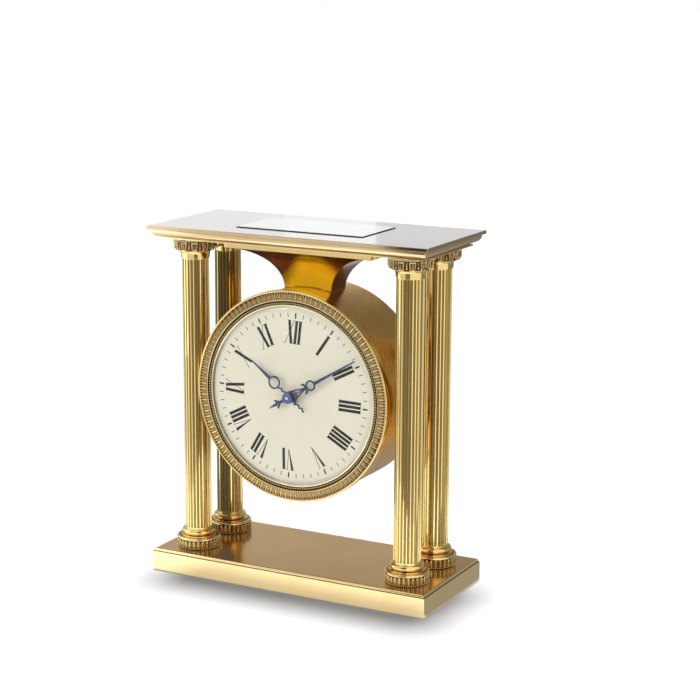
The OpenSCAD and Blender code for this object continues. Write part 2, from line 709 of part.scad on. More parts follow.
module dial() {
  color("ivory") on_axis() translate([0, 0, dial_rear]) difference() {
    cylinder(h = dial_t, r = dial_r, $fn = 192);
    hole(dial_t, 2 * dial_hole_r);
  }
}
module dial_feet() {
  color("gold") on_axis(plate_front) for (a = [30, 150, 270]) rotate(a)
    translate([0.7 * dial_r, 0, 0]) cylinder(h = motion_space, d = screw_d, $fn = 32);
}

// Movement
module rounded_block(w, h, t, r) {
  linear_extrude(height = t) union() {
    square([w - 2 * r, h], center = true);
    square([w, h - 2 * r], center = true);
    for (sx = [-1, 1], sy = [-1, 1]) translate([sx * (w / 2 - r), sy * (h / 2 - r)]) circle(r = r, $fn = 48);
  }
}
case_corner = 6;
module case_screw_places() {
  mirrored_four([case_w / 2 - case_corner, case_h / 2 - case_corner]) children();
}
module carrier_plate() {
  color("silver") on_axis(plate_rear) difference() {
    cylinder(h = plate_t, r = drum_bore_r - fit_gap, $fn = 192);
    hole(plate_t, arbor_d + 3);
    ledge_screw_places(4, 45) hole(plate_t, screw_d + 2 * fit_gap);
    case_screw_places() hole(plate_t, screw_d + press_play);
  }
}
module carrier_screws() {
  color("silver") on_axis(plate_front) ledge_screw_places(4, 45) screw(screw_d, ledge_screw_len);
}
module movement_case() {
  color("dimgray") on_axis(case_rear) difference() {
    rounded_block(case_w, case_h, case_t, case_corner);
    hole(case_t, arbor_d + 2 * running_gap);
    case_screw_places() hole(case_t, screw_d + 2 * fit_gap);
  }
}
module movement_lid() {
  color("gray") on_axis(lid_rear) difference() {
    rounded_block(case_w, case_h, lid_t, case_corner);
    hole(lid_t, arbor_d + 2);
    case_screw_places() hole(lid_t, screw_d + 2 * fit_gap);
  }
}
module movement_screws() {
  color("silver") on_axis(lid_rear) case_screw_places() rotate([180, 0, 0])
    screw(screw_d, lid_t + case_t + plate_t - 0.3);
}

// Rechargeable cell in its open holder, screwed under the movement
cell_drop = case_h / 2 + 2 + cell_d / 2 + holder_wall;
module cell_holder() {
  length = cell_len + 2 * holder_wall + 0.6;
  height = cell_d + 2 * holder_wall + 0.6;
  depth = cell_d * 0.75;
  color("black") on_axis(plate_rear - depth) translate([0, -cell_drop, 0]) difference() {
    translate([-length / 2, -height / 2, 0]) cube([length, height, depth]);
    translate([-length / 2 + holder_wall, -height / 2 + holder_wall, -over])
      cube([length - 2 * holder_wall, height - 2 * holder_wall, depth - holder_wall + over]);
  }
}
module rechargeable_cell() {
  color("silver") on_axis(plate_rear - holder_wall - cell_d / 2) translate([-cell_len / 2, -cell_drop, 0])
    rotate([0, 90, 0]) {
      cylinder(h = cell_len - 1.2, d = cell_d, $fn = 64);
      cylinder(h = cell_len, d = cell_d * 0.35, $fn = 32);
    }
}

// Motion work between the plate and the dial
module minute_post() {
  color("silver") on_axis(plate_front) translate([post_at[0], post_at[1], 0]) {
    cylinder(h = 0.5, r = post_r + 1, $fn = 48);
    cylinder(h = hour_wheel_z + wheel_t + 0.8 - plate_front, r = post_r, $fn = 48);
  }
}
module minute_wheel() {
  pinion_h = hour_wheel_z + wheel_t + 0.4 - minute_wheel_z;
  crossings = 5;
  crossing_d = cannon_module * minute_wheel_teeth * 0.16;
  crossing_at = cannon_module * minute_wheel_teeth * 0.29;
  color("gold") on_axis(minute_wheel_z) translate([post_at[0], post_at[1], 0]) difference() {
    union() {
      rotate(post_angle + 180 + 180 / minute_wheel_teeth) linear_extrude(height = wheel_t) difference() {
        polygon(gear_points(minute_wheel_teeth, cannon_module));
        for (i = [0:crossings - 1]) rotate(360 * i / crossings) translate([crossing_at, 0])
          circle(d = crossing_d, $fn = 32);
      }
      rotate(post_angle + 180 + 180 / minute_pinion_teeth) linear_extrude(height = pinion_h)
        polygon(gear_points(minute_pinion_teeth, hour_module));
    }
    hole(pinion_h, post_d + 2 * running_gap);
  }
}
module hour_wheel() {
  foot = 1.2;
  color("gold") on_axis(hour_wheel_z) difference() {
    union() {
      rotate(post_angle) linear_extrude(height = wheel_t)
        polygon(gear_points(hour_wheel_teeth, hour_module));
      translate([0, 0, -foot]) cylinder(h = hour_pipe_top - hour_wheel_z + foot, r = hour_pipe_r);
    }
    translate([0, 0, -foot]) hole(hour_pipe_top - hour_wheel_z + foot, 2 * hour_bore_r);
  }
}
module cannon_pinion() {
  color("silver") on_axis(cannon_z) difference() {
    union() {
      rotate(post_angle) linear_extrude(height = wheel_t + 0.6)
        polygon(gear_points(cannon_teeth, cannon_module));
      cylinder(h = cannon_top - cannon_z, r = cannon_r);
    }
    hole(cannon_top - cannon_z, arbor_d + press_play);
  }
}
arbor_front = cannon_top + nut_rise / 2;
arbor_rear = knob_front - knob_h + 1.5;
arbor_pin_r = 0.8;
arbor_pin_rise = 0.2;
module centre_arbor() {
  color("silver") on_axis(arbor_rear) {
    cylinder(h = arbor_front - arbor_rear, r = arbor_r);
    cylinder(h = cannon_top + nut_rise + arbor_pin_rise - arbor_rear, r = arbor_pin_r);
  }
}

// Hands, each drawn flat and pointing up before it is turned to its time
module ring_2d(d) {
  difference() {
    circle(d = d);
    circle(d = d - 2 * hand_band);
  }
}
// A thin wavy rod along the y axis
function wave(from, to, swing, half_waves, half_w, steps = 24) = [
  for (i = [0:steps]) let (t = i / steps) [swing * sin(180 * half_waves * t) + half_w, from + (to - from) * t]
];
module wavy_rod(from, to, swing, half_waves, w) {
  polygon(concat(
    wave(from, to, swing, half_waves, w / 2),
    [for (i = [24:-1:0]) wave(from, to, swing, half_waves, -w / 2)[i]]
  ));
}
module hour_hand() {
  boss_r = hour_pipe_r + 0.6;
  ring_r = hour_ring_d / 2;
  blade_foot = hour_ring_at + ring_r - hand_band / 2;
  color("midnightblue") on_axis(hour_hand_z) rotate(-hour_angle) {
    difference() {
      union() {
        cylinder(h = hand_boss_h, r = boss_r);
        translate([0, 0, 0.15]) linear_extrude(height = hand_t) union() {
          translate([0, hour_ring_at]) ring_2d(hour_ring_d);
          polygon([[-1.05, blade_foot], [1.05, blade_foot], [0.28, hour_len], [-0.28, hour_len]]);
          wavy_rod(boss_r - 0.3, hour_ring_at - ring_r + hand_band / 2, 0.45, 4, 1.0);
          mirror([0, 1]) wavy_rod(boss_r - 0.3, hour_tail, 0.5, 6, 1.05);
          for (s = [-1, 1]) polygon([[0, -boss_r], [s * 1.9, -boss_r - 1.6], [s * 0.4, -boss_r - 1.9]]);
        }
      }
      hole(hand_boss_h, 2 * hour_pipe_r + press_play);
    }
  }
}
// The open basket between the minute hand's boss and its crown
module basket_2d(foot, top) {
  half = 2.5;
  outer = concat(
    [[0.5, top]],
    [[1.1, top - 1.6], [half, foot + 3.6], [half - 0.1, foot + 1.6], [1.6, foot - 0.6]]
  );
  difference() {
    polygon(concat(outer, [for (i = [len(outer) - 1:-1:0]) [-outer[i][0], outer[i][1]]]));
    for (s = [-1, 1]) polygon([[s * 0.4, top - 2.5], [s * (half - 1.0), foot + 3.3],
      [s * (half - 1.05), foot + 1.7], [s * 1.0, foot + 0.35], [s * 0.4, foot + 0.35]]);
  }
}
module minute_hand() {
  boss_r = cannon_r + 1.2;
  ring_r = minute_ring_d / 2;
  crown_at = minute_ring_at - ring_r - 1.2;
  bend_at_y = minute_ring_at + ring_r - hand_band / 2;
  dip = 1.9;
  blade_len = minute_len - bend_at_y;
  barb_at = 9.2;
  color("midnightblue") on_axis(minute_hand_z) rotate(-minute_angle) {
    difference() {
      union() {
        cylinder(h = hand_boss_h, r = boss_r);
        translate([0, 0, 0.15]) linear_extrude(height = hand_t) union() {
          translate([0, minute_ring_at]) ring_2d(minute_ring_d);
          basket_2d(boss_r - 0.2, crown_at);
          square_bar(crown_at - 0.4, minute_ring_at - ring_r + 0.3, 1.5);
          for (s = [-1, 1]) polygon([[0, crown_at - 0.4], [s * 1.9, crown_at + 0.2], [s * 2.5, crown_at - 1.2],
            [s * 3.4, crown_at - 1.0], [s * 2.8, crown_at + 1.3], [s * 0.5, crown_at + 1.0]]);
          polygon([[-1.3, -boss_r + 0.6], [1.3, -boss_r + 0.6], [0.6, -7.2], [1.05, -9.6], [0, -minute_tail],
            [-1.05, -9.6], [-0.6, -7.2]]);
          for (s = [-1, 1]) polygon([[0, -5.4], [s * 1.3, -7.0], [s * 2.9, -barb_at], [s * 2.5, -barb_at - 0.6],
            [0, -8.2]]);
        }
      }
      hole(hand_boss_h, 2 * cannon_r + press_play);
    }
    translate([0, bend_at_y, 0.15]) rotate([-asin(dip / blade_len), 0, 0]) linear_extrude(height = hand_t)
      polygon([[-0.95, -0.1], [0.95, -0.1], [0.36, blade_len], [-0.36, blade_len]]);
  }
}
module square_bar(from, to, w) {
  translate([-w / 2, from]) square([w, to - from]);
}
module hand_nut() {
  nut_r = cannon_r + 1.1;
  nut_round = 0.5;
  color("midnightblue") on_axis(cannon_top) difference() {
    rotate_extrude() polygon(concat(
      [[0, 0], [nut_r, 0]],
      arc([nut_r - nut_round, nut_rise - nut_round], [nut_round, nut_round], 0, 90, 8),
      [[0, nut_rise]]
    ));
    translate([0, 0, -over]) cylinder(h = nut_rise / 2 + over, r = arbor_r + press_play / 2);
    hole(nut_rise, 2 * arbor_pin_r + press_play);
  }
}

// Setting knob on the rear end of the arbor
module setting_knob() {
  bore_depth = knob_h - 1.5;
  color("gold") on_axis(knob_front - knob_h) difference() {
    union() {
      linear_extrude(height = knob_h - 2) difference() {
        circle(d = knob_d);
        for (i = [0:knob_grooves - 1]) rotate(360 * i / knob_grooves) translate([knob_d / 2, 0])
          circle(d = 0.8, $fn = 16);
      }
      cylinder(h = knob_h, d = knob_d * 0.5);
    }
    translate([0, 0, knob_h - bore_depth]) cylinder(h = bore_depth + over, r = arbor_r + press_play / 2);
  }
}

base_plate();
base_felt();
tie_rods();
tie_rod_nuts();
for (part = ["foot_ring", "foot_torus", "shaft", "necking", "capital"], i = [0:3])
  one_column_piece(part, i);
lintel_plate();
cornice();
cornice_screws();
soffit_plate();
soffit_screws();
neck();
neck_screws();
solar_tray();
solar_cell();
solar_glass();
solar_lead();
drum_shell();
rear_cover();
rear_cover_screws();
bezel();
bead_ring();
sight_ring();
crystal();
dial();
dial_feet();
carrier_plate();
carrier_screws();
movement_case();
movement_lid();
movement_screws();
cell_holder();
rechargeable_cell();
minute_post();
minute_wheel();
hour_wheel();
cannon_pinion();
centre_arbor();
hour_hand();
minute_hand();
hand_nut();
setting_knob();
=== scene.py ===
import bpy
import math
from mathutils import Matrix, Vector


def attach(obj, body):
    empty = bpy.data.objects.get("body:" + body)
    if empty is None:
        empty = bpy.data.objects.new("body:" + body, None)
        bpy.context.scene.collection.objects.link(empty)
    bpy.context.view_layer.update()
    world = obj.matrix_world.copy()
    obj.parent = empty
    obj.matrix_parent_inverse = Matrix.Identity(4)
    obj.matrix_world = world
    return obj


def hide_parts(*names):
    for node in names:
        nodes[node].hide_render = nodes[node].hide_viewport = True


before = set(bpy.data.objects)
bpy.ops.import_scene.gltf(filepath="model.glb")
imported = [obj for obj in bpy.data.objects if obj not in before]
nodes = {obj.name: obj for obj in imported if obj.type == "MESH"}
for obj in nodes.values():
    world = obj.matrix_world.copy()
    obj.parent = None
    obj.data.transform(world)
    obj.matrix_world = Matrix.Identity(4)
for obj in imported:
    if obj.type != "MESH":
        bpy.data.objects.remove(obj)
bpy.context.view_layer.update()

mm = 0.001
scene = bpy.context.scene
axisZ = 118.6  # height of the drum's axis, mm
fine, medium = 256, 192  # steps round the wide turned pieces
dialPlace = Matrix.Translation((0, 0, axisZ * mm)) @ Matrix.Rotation(math.pi / 2, 4, "X")
print("frame loaded,", len(nodes), "nodes")


# Shapes are drawn in mm and stored in metres

def smoothed(mesh, angle):
    mesh.shade_smooth()
    mesh.set_sharp_from_angle(angle=math.radians(angle))
    return mesh


def meshOf(name, verts, faces, tones=None, smooth=35):
    mesh = bpy.data.meshes.new(name)
    mesh.from_pydata([(x * mm, y * mm, z * mm) for x, y, z in verts], [], faces)
    tone = mesh.attributes.new("tone", "FLOAT", "POINT")
    tone.data.foreach_set("value", tones or [1.0] * len(verts))
    return smoothed(mesh, smooth)


def unit(value):
    return max(0.0, min(1.0, value))


def hump(value, centre, wide):
    return math.exp(-((value - centre) / wide) ** 2)


def arc(cx, cz, rx, rz, start, end, steps=8):
    turn = [math.radians(start + (end - start) * i / steps) for i in range(steps + 1)]
    return [(cx + rx * math.cos(a), cz + rz * math.sin(a)) for a in turn]


def turned(name, profile, steps=96, smooth=35):
    # a closed outline of (radius, height[, tone]) spun about Z; it runs up the outside
    verts, faces, tones, rings = [], [], [], []
    onAxis = 1e-6
    for point in profile:
        count = 1 if point[0] < onAxis else steps
        rings.append(range(len(verts), len(verts) + count))
        for i in range(count):
            a = 2 * math.pi * i / steps
            verts.append((point[0] * math.cos(a), point[0] * math.sin(a), point[1]))
        tones += [point[2] if len(point) > 2 else 1.0] * count
    for low, high in zip(rings, rings[1:] + rings[:1]):
        for i in range(steps):
            j = (i + 1) % steps
            if len(low) > 1 and len(high) > 1:
                faces.append((low[i], low[j], high[j], high[i]))
            elif len(low) > 1:
                faces.append((low[i], low[j], high[0]))
            elif len(high) > 1:
                faces.append((low[0], high[j], high[i]))
    return meshOf(name, verts, faces, tones, smooth)


def roundedLoop(halfX, halfY, corner, z, steps=3):
    loop = []
    for k, (sx, sy) in enumerate(((1, 1), (-1, 1), (-1, -1), (1, -1))):
        cx, cy = sx * (halfX - corner), sy * (halfY - corner)
        for i in range(steps + 1):
            a = math.radians(90 * k + 90 * i / steps)
            loop.append((cx + corner * math.cos(a), cy + corner * math.sin(a), z))
    return loop


def sideFaces(n, levels, start=0):
    return [(a + i, a + (i + 1) % n, a + n + (i + 1) % n, a + n + i)
            for a in range(start, start + n * (levels - 1), n) for i in range(n)]


def lofted(name, loops, smooth=35, lift=None, loopTones=None, tones=None):
    # joins loops of equal length from the bottom up, and caps both ends
    n = len(loops[0])
    if loopTones:
        tones = [tone for tone in loopTones for _ in range(n)]
    verts = [lift(p) if lift else p for loop in loops for p in loop]
    caps = [tuple(range(n))[::-1], tuple(range(len(verts) - n, len(verts)))]
    return meshOf(name, verts, sideFaces(n, len(loops)) + caps, tones, smooth)


def plateLoops(half, profile, corner=0.25):
    # the loops of a plate with a moulded side, from (inset, height) points
    sharpening, leastCorner = 0.02, 0.1
    return [roundedLoop(half[0] - inset, half[1] - inset, max(corner - inset * sharpening, leastCorner), z)
            for inset, z in profile]


def raised(mesh, height):
    mesh.transform(Matrix.Translation((0, 0, height * mm)))
    return mesh


def finishTop(mesh, sideFinish, topFinish):
    facingUp, flatUp = 0.9, 0.999
    mesh.materials.append(sideFinish)
    mesh.materials.append(topFinish)
    for face in mesh.polygons:
        face.material_index = int(face.normal.z > facingUp)
        face.use_smooth = face.normal.z < flatUp  # the flat top mirrors like a flat sheet
    return mesh


def piece(name, meshes, finish, body="case", place=Matrix()):
    # joins copies of the meshes, set in their place, into one object;
    # it stands for the node of the CAD that has its name, as drumShell does for drum_shell
    node = "".join("_" + letter.lower() if letter.isupper() else letter for letter in name)
    objects = []
    for mesh in meshes:
        own = mesh.copy()
        own.transform(place)
        if not own.materials:
            own.materials.append(finish)
        objects.append(bpy.data.objects.new(name, own))
        scene.collection.objects.link(objects[-1])
    first = objects[0]
    if len(objects) > 1:
        with bpy.context.temp_override(active_object=first, selected_editable_objects=objects):
            bpy.ops.object.join()
    first.name = name
    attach(first, body)
    if node in nodes:
        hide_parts(node)


def calc(tree, operation, first, second=0.0):
    node = tree.nodes.new("ShaderNodeMath")
    node.operation = operation
    for index, value in enumerate((first, second)):
        if isinstance(value, (int, float)):
            node.inputs[index].default_value = value
        else:
            tree.links.new(value, node.inputs[index])
    return node.outputs[0]


def repeatTree(name, ring):
    # sets an ornament round a ring, or on the points of a mesh
    tree = bpy.data.node_groups.new(name, "GeometryNodeTree")
    sockets = {"Geometry": "Geometry", "Ornament": "Object", "Finish": "Material"}
    if ring:
        sockets.update(Count="Int", Radius="Float", Start="Float")
    for socketName, kind in sockets.items():
        tree.interface.new_socket(socketName, in_out="INPUT", socket_type="NodeSocket" + kind)
    tree.interface.new_socket("Geometry", in_out="OUTPUT", socket_type="NodeSocketGeometry")
    new, link = tree.nodes.new, tree.links.new
    entry, leave = new("NodeGroupInput"), new("NodeGroupOutput")
    shape = new("GeometryNodeObjectInfo")
    onPoints = new("GeometryNodeInstanceOnPoints")
    realize, finish = new("GeometryNodeRealizeInstances"), new("GeometryNodeSetMaterial")
    link(entry.outputs["Ornament"], shape.inputs["Object"])
    link(shape.outputs["Geometry"], onPoints.inputs["Instance"])
    if ring:
        index = new("GeometryNodeInputIndex").outputs[0]
        share = calc(tree, "DIVIDE", index, entry.outputs["Count"])
        angle = calc(tree, "ADD", calc(tree, "MULTIPLY", share, 2 * math.pi), entry.outputs["Start"])
        place, turn = new("ShaderNodeCombineXYZ"), new("ShaderNodeCombineXYZ")
        for axis, wave in enumerate(("COSINE", "SINE")):
            along = calc(tree, "MULTIPLY", calc(tree, wave, angle), entry.outputs["Radius"])
            link(along, place.inputs[axis])
        link(angle, turn.inputs[2])
        points = new("GeometryNodePoints")
        link(entry.outputs["Count"], points.inputs["Count"])
        link(place.outputs[0], points.inputs["Position"])
        link(points.outputs[0], onPoints.inputs["Points"])
        link(turn.outputs[0], onPoints.inputs["Rotation"])
    else:
        link(entry.outputs["Geometry"], onPoints.inputs["Points"])
    link(onPoints.outputs[0], realize.inputs[0])
    link(realize.outputs[0], finish.inputs["Geometry"])
    link(entry.outputs["Finish"], finish.inputs["Material"])
    link(finish.outputs[0], leave.inputs[0])
    return tree


ringTree = repeatTree("ornament ring", True)
pointTree = repeatTree("ornament on points", False)


def repeated(name, ornament, finish, tree, points=(), smooth=35, **values):
    shape = bpy.data.objects.new(name + " ornament", ornament)
    guide = bpy.data.meshes.new(name + " guide")
    guide.from_pydata([Vector(p) * mm for p in points], [], [])
    carrier = bpy.data.objects.new(name + " carrier", guide)
    for obj in (shape, carrier):
        scene.collection.objects.link(obj)
    modifier = carrier.modifiers.new("repeat", "NODES")
    modifier.node_group = tree
    values.update(Ornament=shape, Finish=finish)
    for item in tree.interface.items_tree:
        if item.in_out == "INPUT" and item.name in values:
            modifier[item.identifier] = values[item.name]
    bpy.context.view_layer.update()
    evaluated = carrier.evaluated_get(bpy.context.evaluated_depsgraph_get())
    result = bpy.data.meshes.new_from_object(evaluated)
    carrier.modifiers.clear()
    for obj in (shape, carrier):
        bpy.data.objects.remove(obj)
    return smoothed(result, smooth)


def ringOf(name, ornament, finish, count, radius=0.0, start=0.0, smooth=35):
    return repeated(name, ornament, finish, ringTree, smooth=smooth,
                    Count=count, Radius=radius * mm, Start=math.radians(start))


def relief(name, across, along, point, smooth=60):
    # a small curved patch: point(u, v) gives (x, y, z, tone) for u across and v along, both 0 to 1
    w = across + 1
    points = [point(i / across, j / along) for j in range(along + 1) for i in range(w)]
    faces = [(a, a + 1, a + 1 + w, a + w) for j in range(along) for a in range(j * w, j * w + across)]
    return meshOf(name, [p[:3] for p in points], faces, [p[3] for p in points], smooth)


def bead(name, radius, around=8, rows=5, cut=-0.5):
    # a small ball with its top along +X, cut off behind so that it sits in its bed
    side = arc(0, 0, radius, radius, math.degrees(math.asin(cut)), 90, rows)
    profile = [(0.0, radius * cut)] + side[:-1] + [(0.0, radius)]
    ball = turned(name, profile, around, 70)
    ball.transform(Matrix.Rotation(math.pi / 2, 4, "Y"))
    return ball


def shaderOf(name):
    material = bpy.data.materials.new(name)
    material.use_nodes = True
    tree = material.node_tree
    return material, tree, tree.nodes["Principled BSDF"]


def setInputs(node, values):
    for slotName, value in values.items():
        node.inputs[slotName].default_value = value


def noiseOn(tree, scale, stretch=(1, 1, 1), detail=3.0):
    new, link = tree.nodes.new, tree.links.new
    coord, mapping, noise = new("ShaderNodeTexCoord"), new("ShaderNodeMapping"), new("ShaderNodeTexNoise")
    setInputs(mapping, {"Scale": stretch})
    setInputs(noise, {"Scale": scale, "Detail": detail})
    link(coord.outputs["Object"], mapping.inputs[0])
    link(mapping.outputs[0], noise.inputs["Vector"])
    return noise.outputs["Fac"]


def spread(tree, value, low, high, fromLow=0.3, fromHigh=0.7):
    node = tree.nodes.new("ShaderNodeMapRange")
    setInputs(node, {"From Min": fromLow, "From Max": fromHigh, "To Min": low, "To Max": high})
    tree.links.new(value, node.inputs["Value"])
    return node.outputs["Result"]


def blended(tree, factor, first, second):
    node = tree.nodes.new("ShaderNodeMix")
    node.data_type = "RGBA"
    tree.links.new(factor, node.inputs["Factor"])
    for slotName, value in (("A", first), ("B", second)):
        socket = [s for s in node.inputs if s.name == slotName and s.type == "RGBA"][0]
        if isinstance(value, (tuple, list)):
            socket.default_value = (*value, 1)
        else:
            tree.links.new(value, socket)
    return [s for s in node.outputs if s.type == "RGBA"][0]


def bumped(tree, shader, height, strength, distance):
    node = tree.nodes.new("ShaderNodeBump")
    setInputs(node, {"Strength": strength, "Distance": distance})
    tree.links.new(height, node.inputs["Height"])
    tree.links.new(node.outputs[0], shader.inputs["Normal"])


def mottled(tree, shader, grain, colour, shade, rough):
    tree.links.new(blended(tree, spread(tree, grain, 0, 1), colour, shade), shader.inputs["Base Color"])
    tree.links.new(spread(tree, grain, *rough), shader.inputs["Roughness"])


def metal(name, colour, shade, rough, deep=None, brush=(1, 1, 1), grain=900, strength=0.1, coat=0.0,
          metallic=1.0, glancing=None):
    # colour and shade mix in soft clouds, and brush stretches the grain;
    # deep is the colour of painted shade where the mesh's tone is low, as in hollows;
    # the colour for grazing views is a painted pale reflection that the lacquer shows when seen along its
    # surface
    material, tree, shader = shaderOf(name)
    setInputs(shader, {"Metallic": metallic, "Coat Weight": coat, "Coat Roughness": 0.06})
    cloudScale, lineDetail, bumpDepth, paleFrom, paleTo, hollowRoughAdd = 35, 2.0, 0.00005, 0.60, 0.81, 0.18
    clouds = noiseOn(tree, cloudScale)
    lines = noiseOn(tree, grain, brush, lineDetail)
    tint = blended(tree, spread(tree, clouds, 0, 1), colour, shade)
    if glancing:
        facing = tree.nodes.new("ShaderNodeLayerWeight").outputs["Facing"]
        tint = blended(tree, spread(tree, facing, 0, 1, paleFrom, paleTo), tint, glancing)
    roughness = spread(tree, lines, *rough)
    if deep:
        tone = tree.nodes.new("ShaderNodeAttribute")
        tone.attribute_name = "tone"
        tint = blended(tree, spread(tree, tone.outputs["Fac"], 0, 1, 0.0, 1.0), deep, tint)
        hollowRough = spread(tree, tone.outputs["Fac"], hollowRoughAdd, 0.0, 0.0, 1.0)
        roughness = calc(tree, "ADD", hollowRough, roughness)
    tree.links.new(tint, shader.inputs["Base Color"])
    tree.links.new(roughness, shader.inputs["Roughness"])
    bumped(tree, shader, lines, strength, bumpDepth)
    return material


def plain(name, colour, shade, rough, scale=300, strength=0.1, distance=0.0001, sheen=0.0):
    material, tree, shader = shaderOf(name)
    setInputs(shader, {"Sheen Weight": sheen})
    grain = noiseOn(tree, scale)
    mottled(tree, shader, grain, colour, shade, rough)
    bumped(tree, shader, grain, strength, distance)
    return material


# painted shade: the colour that the darkened grooves, creases and flutes of the brass take
paintedHollowShade = (0.16, 0.075, 0.02)


def brushedPlate(name, colour, shade, rough=(0.13, 0.22), **values):
    return metal(name, colour, shade, rough, brush=(0.04, 1, 1), grain=1600, **values)


polishedBrass = metal("polished brass", (0.93, 0.70, 0.30), (0.88, 0.62, 0.23), (0.05, 0.10), coat=0.3)
plateBrass = brushedPlate("brushed plate brass", (0.96, 0.77, 0.42), (0.93, 0.71, 0.35), deep=paintedHollowShade,
                          strength=0.08)
# painted shade: the cornice's sides take a darker copy of the plate brass
fasciaBrass = brushedPlate("brushed fascia brass, darker as painted shade", (0.85, 0.65, 0.38), (0.80, 0.58, 0.31), deep=paintedHollowShade,
                           strength=0.08)
# painted shade: the base's top takes a darker, warmer copy of the plate brass
baseTopBrass = brushedPlate("brushed base top, darker as painted shade", (0.86, 0.56, 0.23), (0.80, 0.50, 0.19))
# painted reflection: the top turns pale where it is seen along its surface
corniceTopBrass = brushedPlate("lacquered top with painted glancing reflection", (0.88, 0.66, 0.34), (0.83, 0.60, 0.29), (0.10, 0.16),
                               strength=0.04, coat=1.0, glancing=(0.79, 0.745, 0.69))
# painted reflections: the neck's front and back take a saturated amber, darkened by tone towards near black
# and partly lit as a dull surface; its ends take a paler brass with painted shade low down
neckBrass = metal("neck brass with painted reflections", (1.0, 0.74, 0.03), (1.0, 0.69, 0.02), (0.08, 0.14), (0.13, 0.03, 0.006),
                  grain=1200, metallic=0.7)
neckSideBrass = metal("shaded neck brass", (1.0, 0.72, 0.42), (0.95, 0.66, 0.36), (0.08, 0.14),
                      (0.24, 0.08, 0.02), grain=1200)
fluteBrass = metal("fluted brass", (0.98, 0.80, 0.36), (0.93, 0.73, 0.28), (0.07, 0.14), paintedHollowShade,
                   brush=(1, 1, 0.03), grain=1500)
drumBrass = metal("satin drum brass", (0.97, 0.60, 0.18), (0.89, 0.50, 0.12), (0.22, 0.34),
                  brush=(0.05, 1, 0.05), grain=2500, strength=0.25)
# painted shade: the near-black deep colour fills the grounds of the carvings and the bodies behind them
carvedBrass = metal("carved brass with painted shade", (0.97, 0.75, 0.36), (0.88, 0.64, 0.27), (0.10, 0.18),
                    (0.085, 0.038, 0.009), grain=1200, strength=0.06)
# painted highlight: the beads take a paler, partly dull copy of the brass so that they read bright
beadBrass = metal("bead brass, paled as painted highlight", (1.0, 0.90, 0.60), (0.98, 0.86, 0.54), (0.18, 0.26), grain=1500,
                  metallic=0.6)
ringBrass = metal("pale ring brass", (0.93, 0.82, 0.55), (0.88, 0.76, 0.48), (0.10, 0.18), grain=1500)
# painted reflection: the hand nut takes a lighter copy of the blued steel
nutBlue = metal("blued steel, paled as painted reflection", (0.075, 0.105, 0.22), (0.06, 0.085, 0.17), (0.16, 0.24), grain=1500)
blueSteel = metal("blued steel", (0.045, 0.055, 0.12), (0.03, 0.035, 0.07), (0.22, 0.32), grain=1500)
plainSteel = metal("turned steel", (0.60, 0.60, 0.60), (0.50, 0.50, 0.51), (0.25, 0.38), grain=1400)
cellCan = metal("cell can", (0.66, 0.66, 0.68), (0.58, 0.58, 0.60), (0.2, 0.3))
blackPlastic = plain("black plastic", (0.018, 0.018, 0.02), (0.026, 0.026, 0.028), (0.35, 0.5))
wireCover = plain("wire cover", (0.03, 0.03, 0.03), (0.05, 0.05, 0.05), (0.5, 0.6))
greenFelt = plain("green felt", (0.02, 0.07, 0.035), (0.035, 0.10, 0.05), (0.9, 1.0),
                  scale=2500, strength=0.6, distance=0.0003, sheen=0.4)
dialEnamel = plain("cream dial enamel", (0.81, 0.755, 0.605), (0.795, 0.74, 0.59), (0.32, 0.42),
                   scale=60, strength=0.03)
dialInk = plain("numeral black", (0.010, 0.009, 0.008), (0.014, 0.012, 0.010), (0.5, 0.6))
setInputs(dialInk.node_tree.nodes["Principled BSDF"], {"Specular IOR Level": 0.15})  # matt print


def clearGlass(name, tint, edge):
    # thin blown glass: it bends light little, and its polish gives the reflections
    material, tree, shader = shaderOf(name)
    new, link = tree.nodes.new, tree.links.new
    setInputs(shader, {"Transmission Weight": 1, "IOR": 1.02, "Coat Weight": 0.3, "Coat Roughness": 0.02})
    mottled(tree, shader, noiseOn(tree, 40), tint, edge, (0.0, 0.015))
    clear, mix, path = (new("ShaderNode" + kind) for kind in ("BsdfTransparent", "MixShader", "LightPath"))
    clear.inputs[0].default_value = (*tint, 1)
    link(path.outputs["Is Shadow Ray"], mix.inputs[0])
    link(shader.outputs[0], mix.inputs[1])
    link(clear.outputs[0], mix.inputs[2])
    link(mix.outputs[0], tree.nodes["Material Output"].inputs["Surface"])
    return material


crystalGlass = clearGlass("crystal glass", (0.985, 0.99, 0.985), (0.975, 0.985, 0.975))


def cellFinish():
    # dark blue cell with fine silver contact lines
    material, tree, shader = shaderOf("solar cell")
    new, link = tree.nodes.new, tree.links.new
    grain = noiseOn(tree, 250)
    blue = blended(tree, spread(tree, grain, 0, 1), (0.010, 0.014, 0.045), (0.016, 0.022, 0.060))
    coord, split = new("ShaderNodeTexCoord"), new("ShaderNodeSeparateXYZ")
    link(coord.outputs["Object"], split.inputs[0])
    lines, contacts = [], ((1, 0.0021, 0.06), (0, 0.0168, 0.03))  # axis, pitch, share that is silver
    for axis, pitch, width in contacts:
        wave = calc(tree, "PINGPONG", split.outputs[axis], pitch / 2)
        lines.append(calc(tree, "LESS_THAN", wave, pitch * width))
    silver = (0.45, 0.46, 0.48)
    link(blended(tree, calc(tree, "MAXIMUM", *lines), blue, silver), shader.inputs["Base Color"])
    link(spread(tree, grain, 0.25, 0.4), shader.inputs["Roughness"])
    return material


cellBlue = cellFinish()


def opalFinish():
    # pale frosted cover that lets a little of the cell show
    material, tree, shader = shaderOf("opal panel glass")
    mottled(tree, shader, noiseOn(tree, 90), (0.90, 0.91, 0.91), (0.86, 0.87, 0.88), (0.10, 0.16))
    setInputs(shader, {"Transmission Weight": 0.12})
    return material


opalGlass = opalFinish()
print("finishes ready")

base = {"half": (93.0, 39.6), "faceTop": 11.8, "edgeIn": 2.0, "edgeRise": 1.35, "quirk": 0.7,
        "quirkRise": 0.45, "felt": 1.0, "feltBorder": 3.0, "bevel": 0.3}


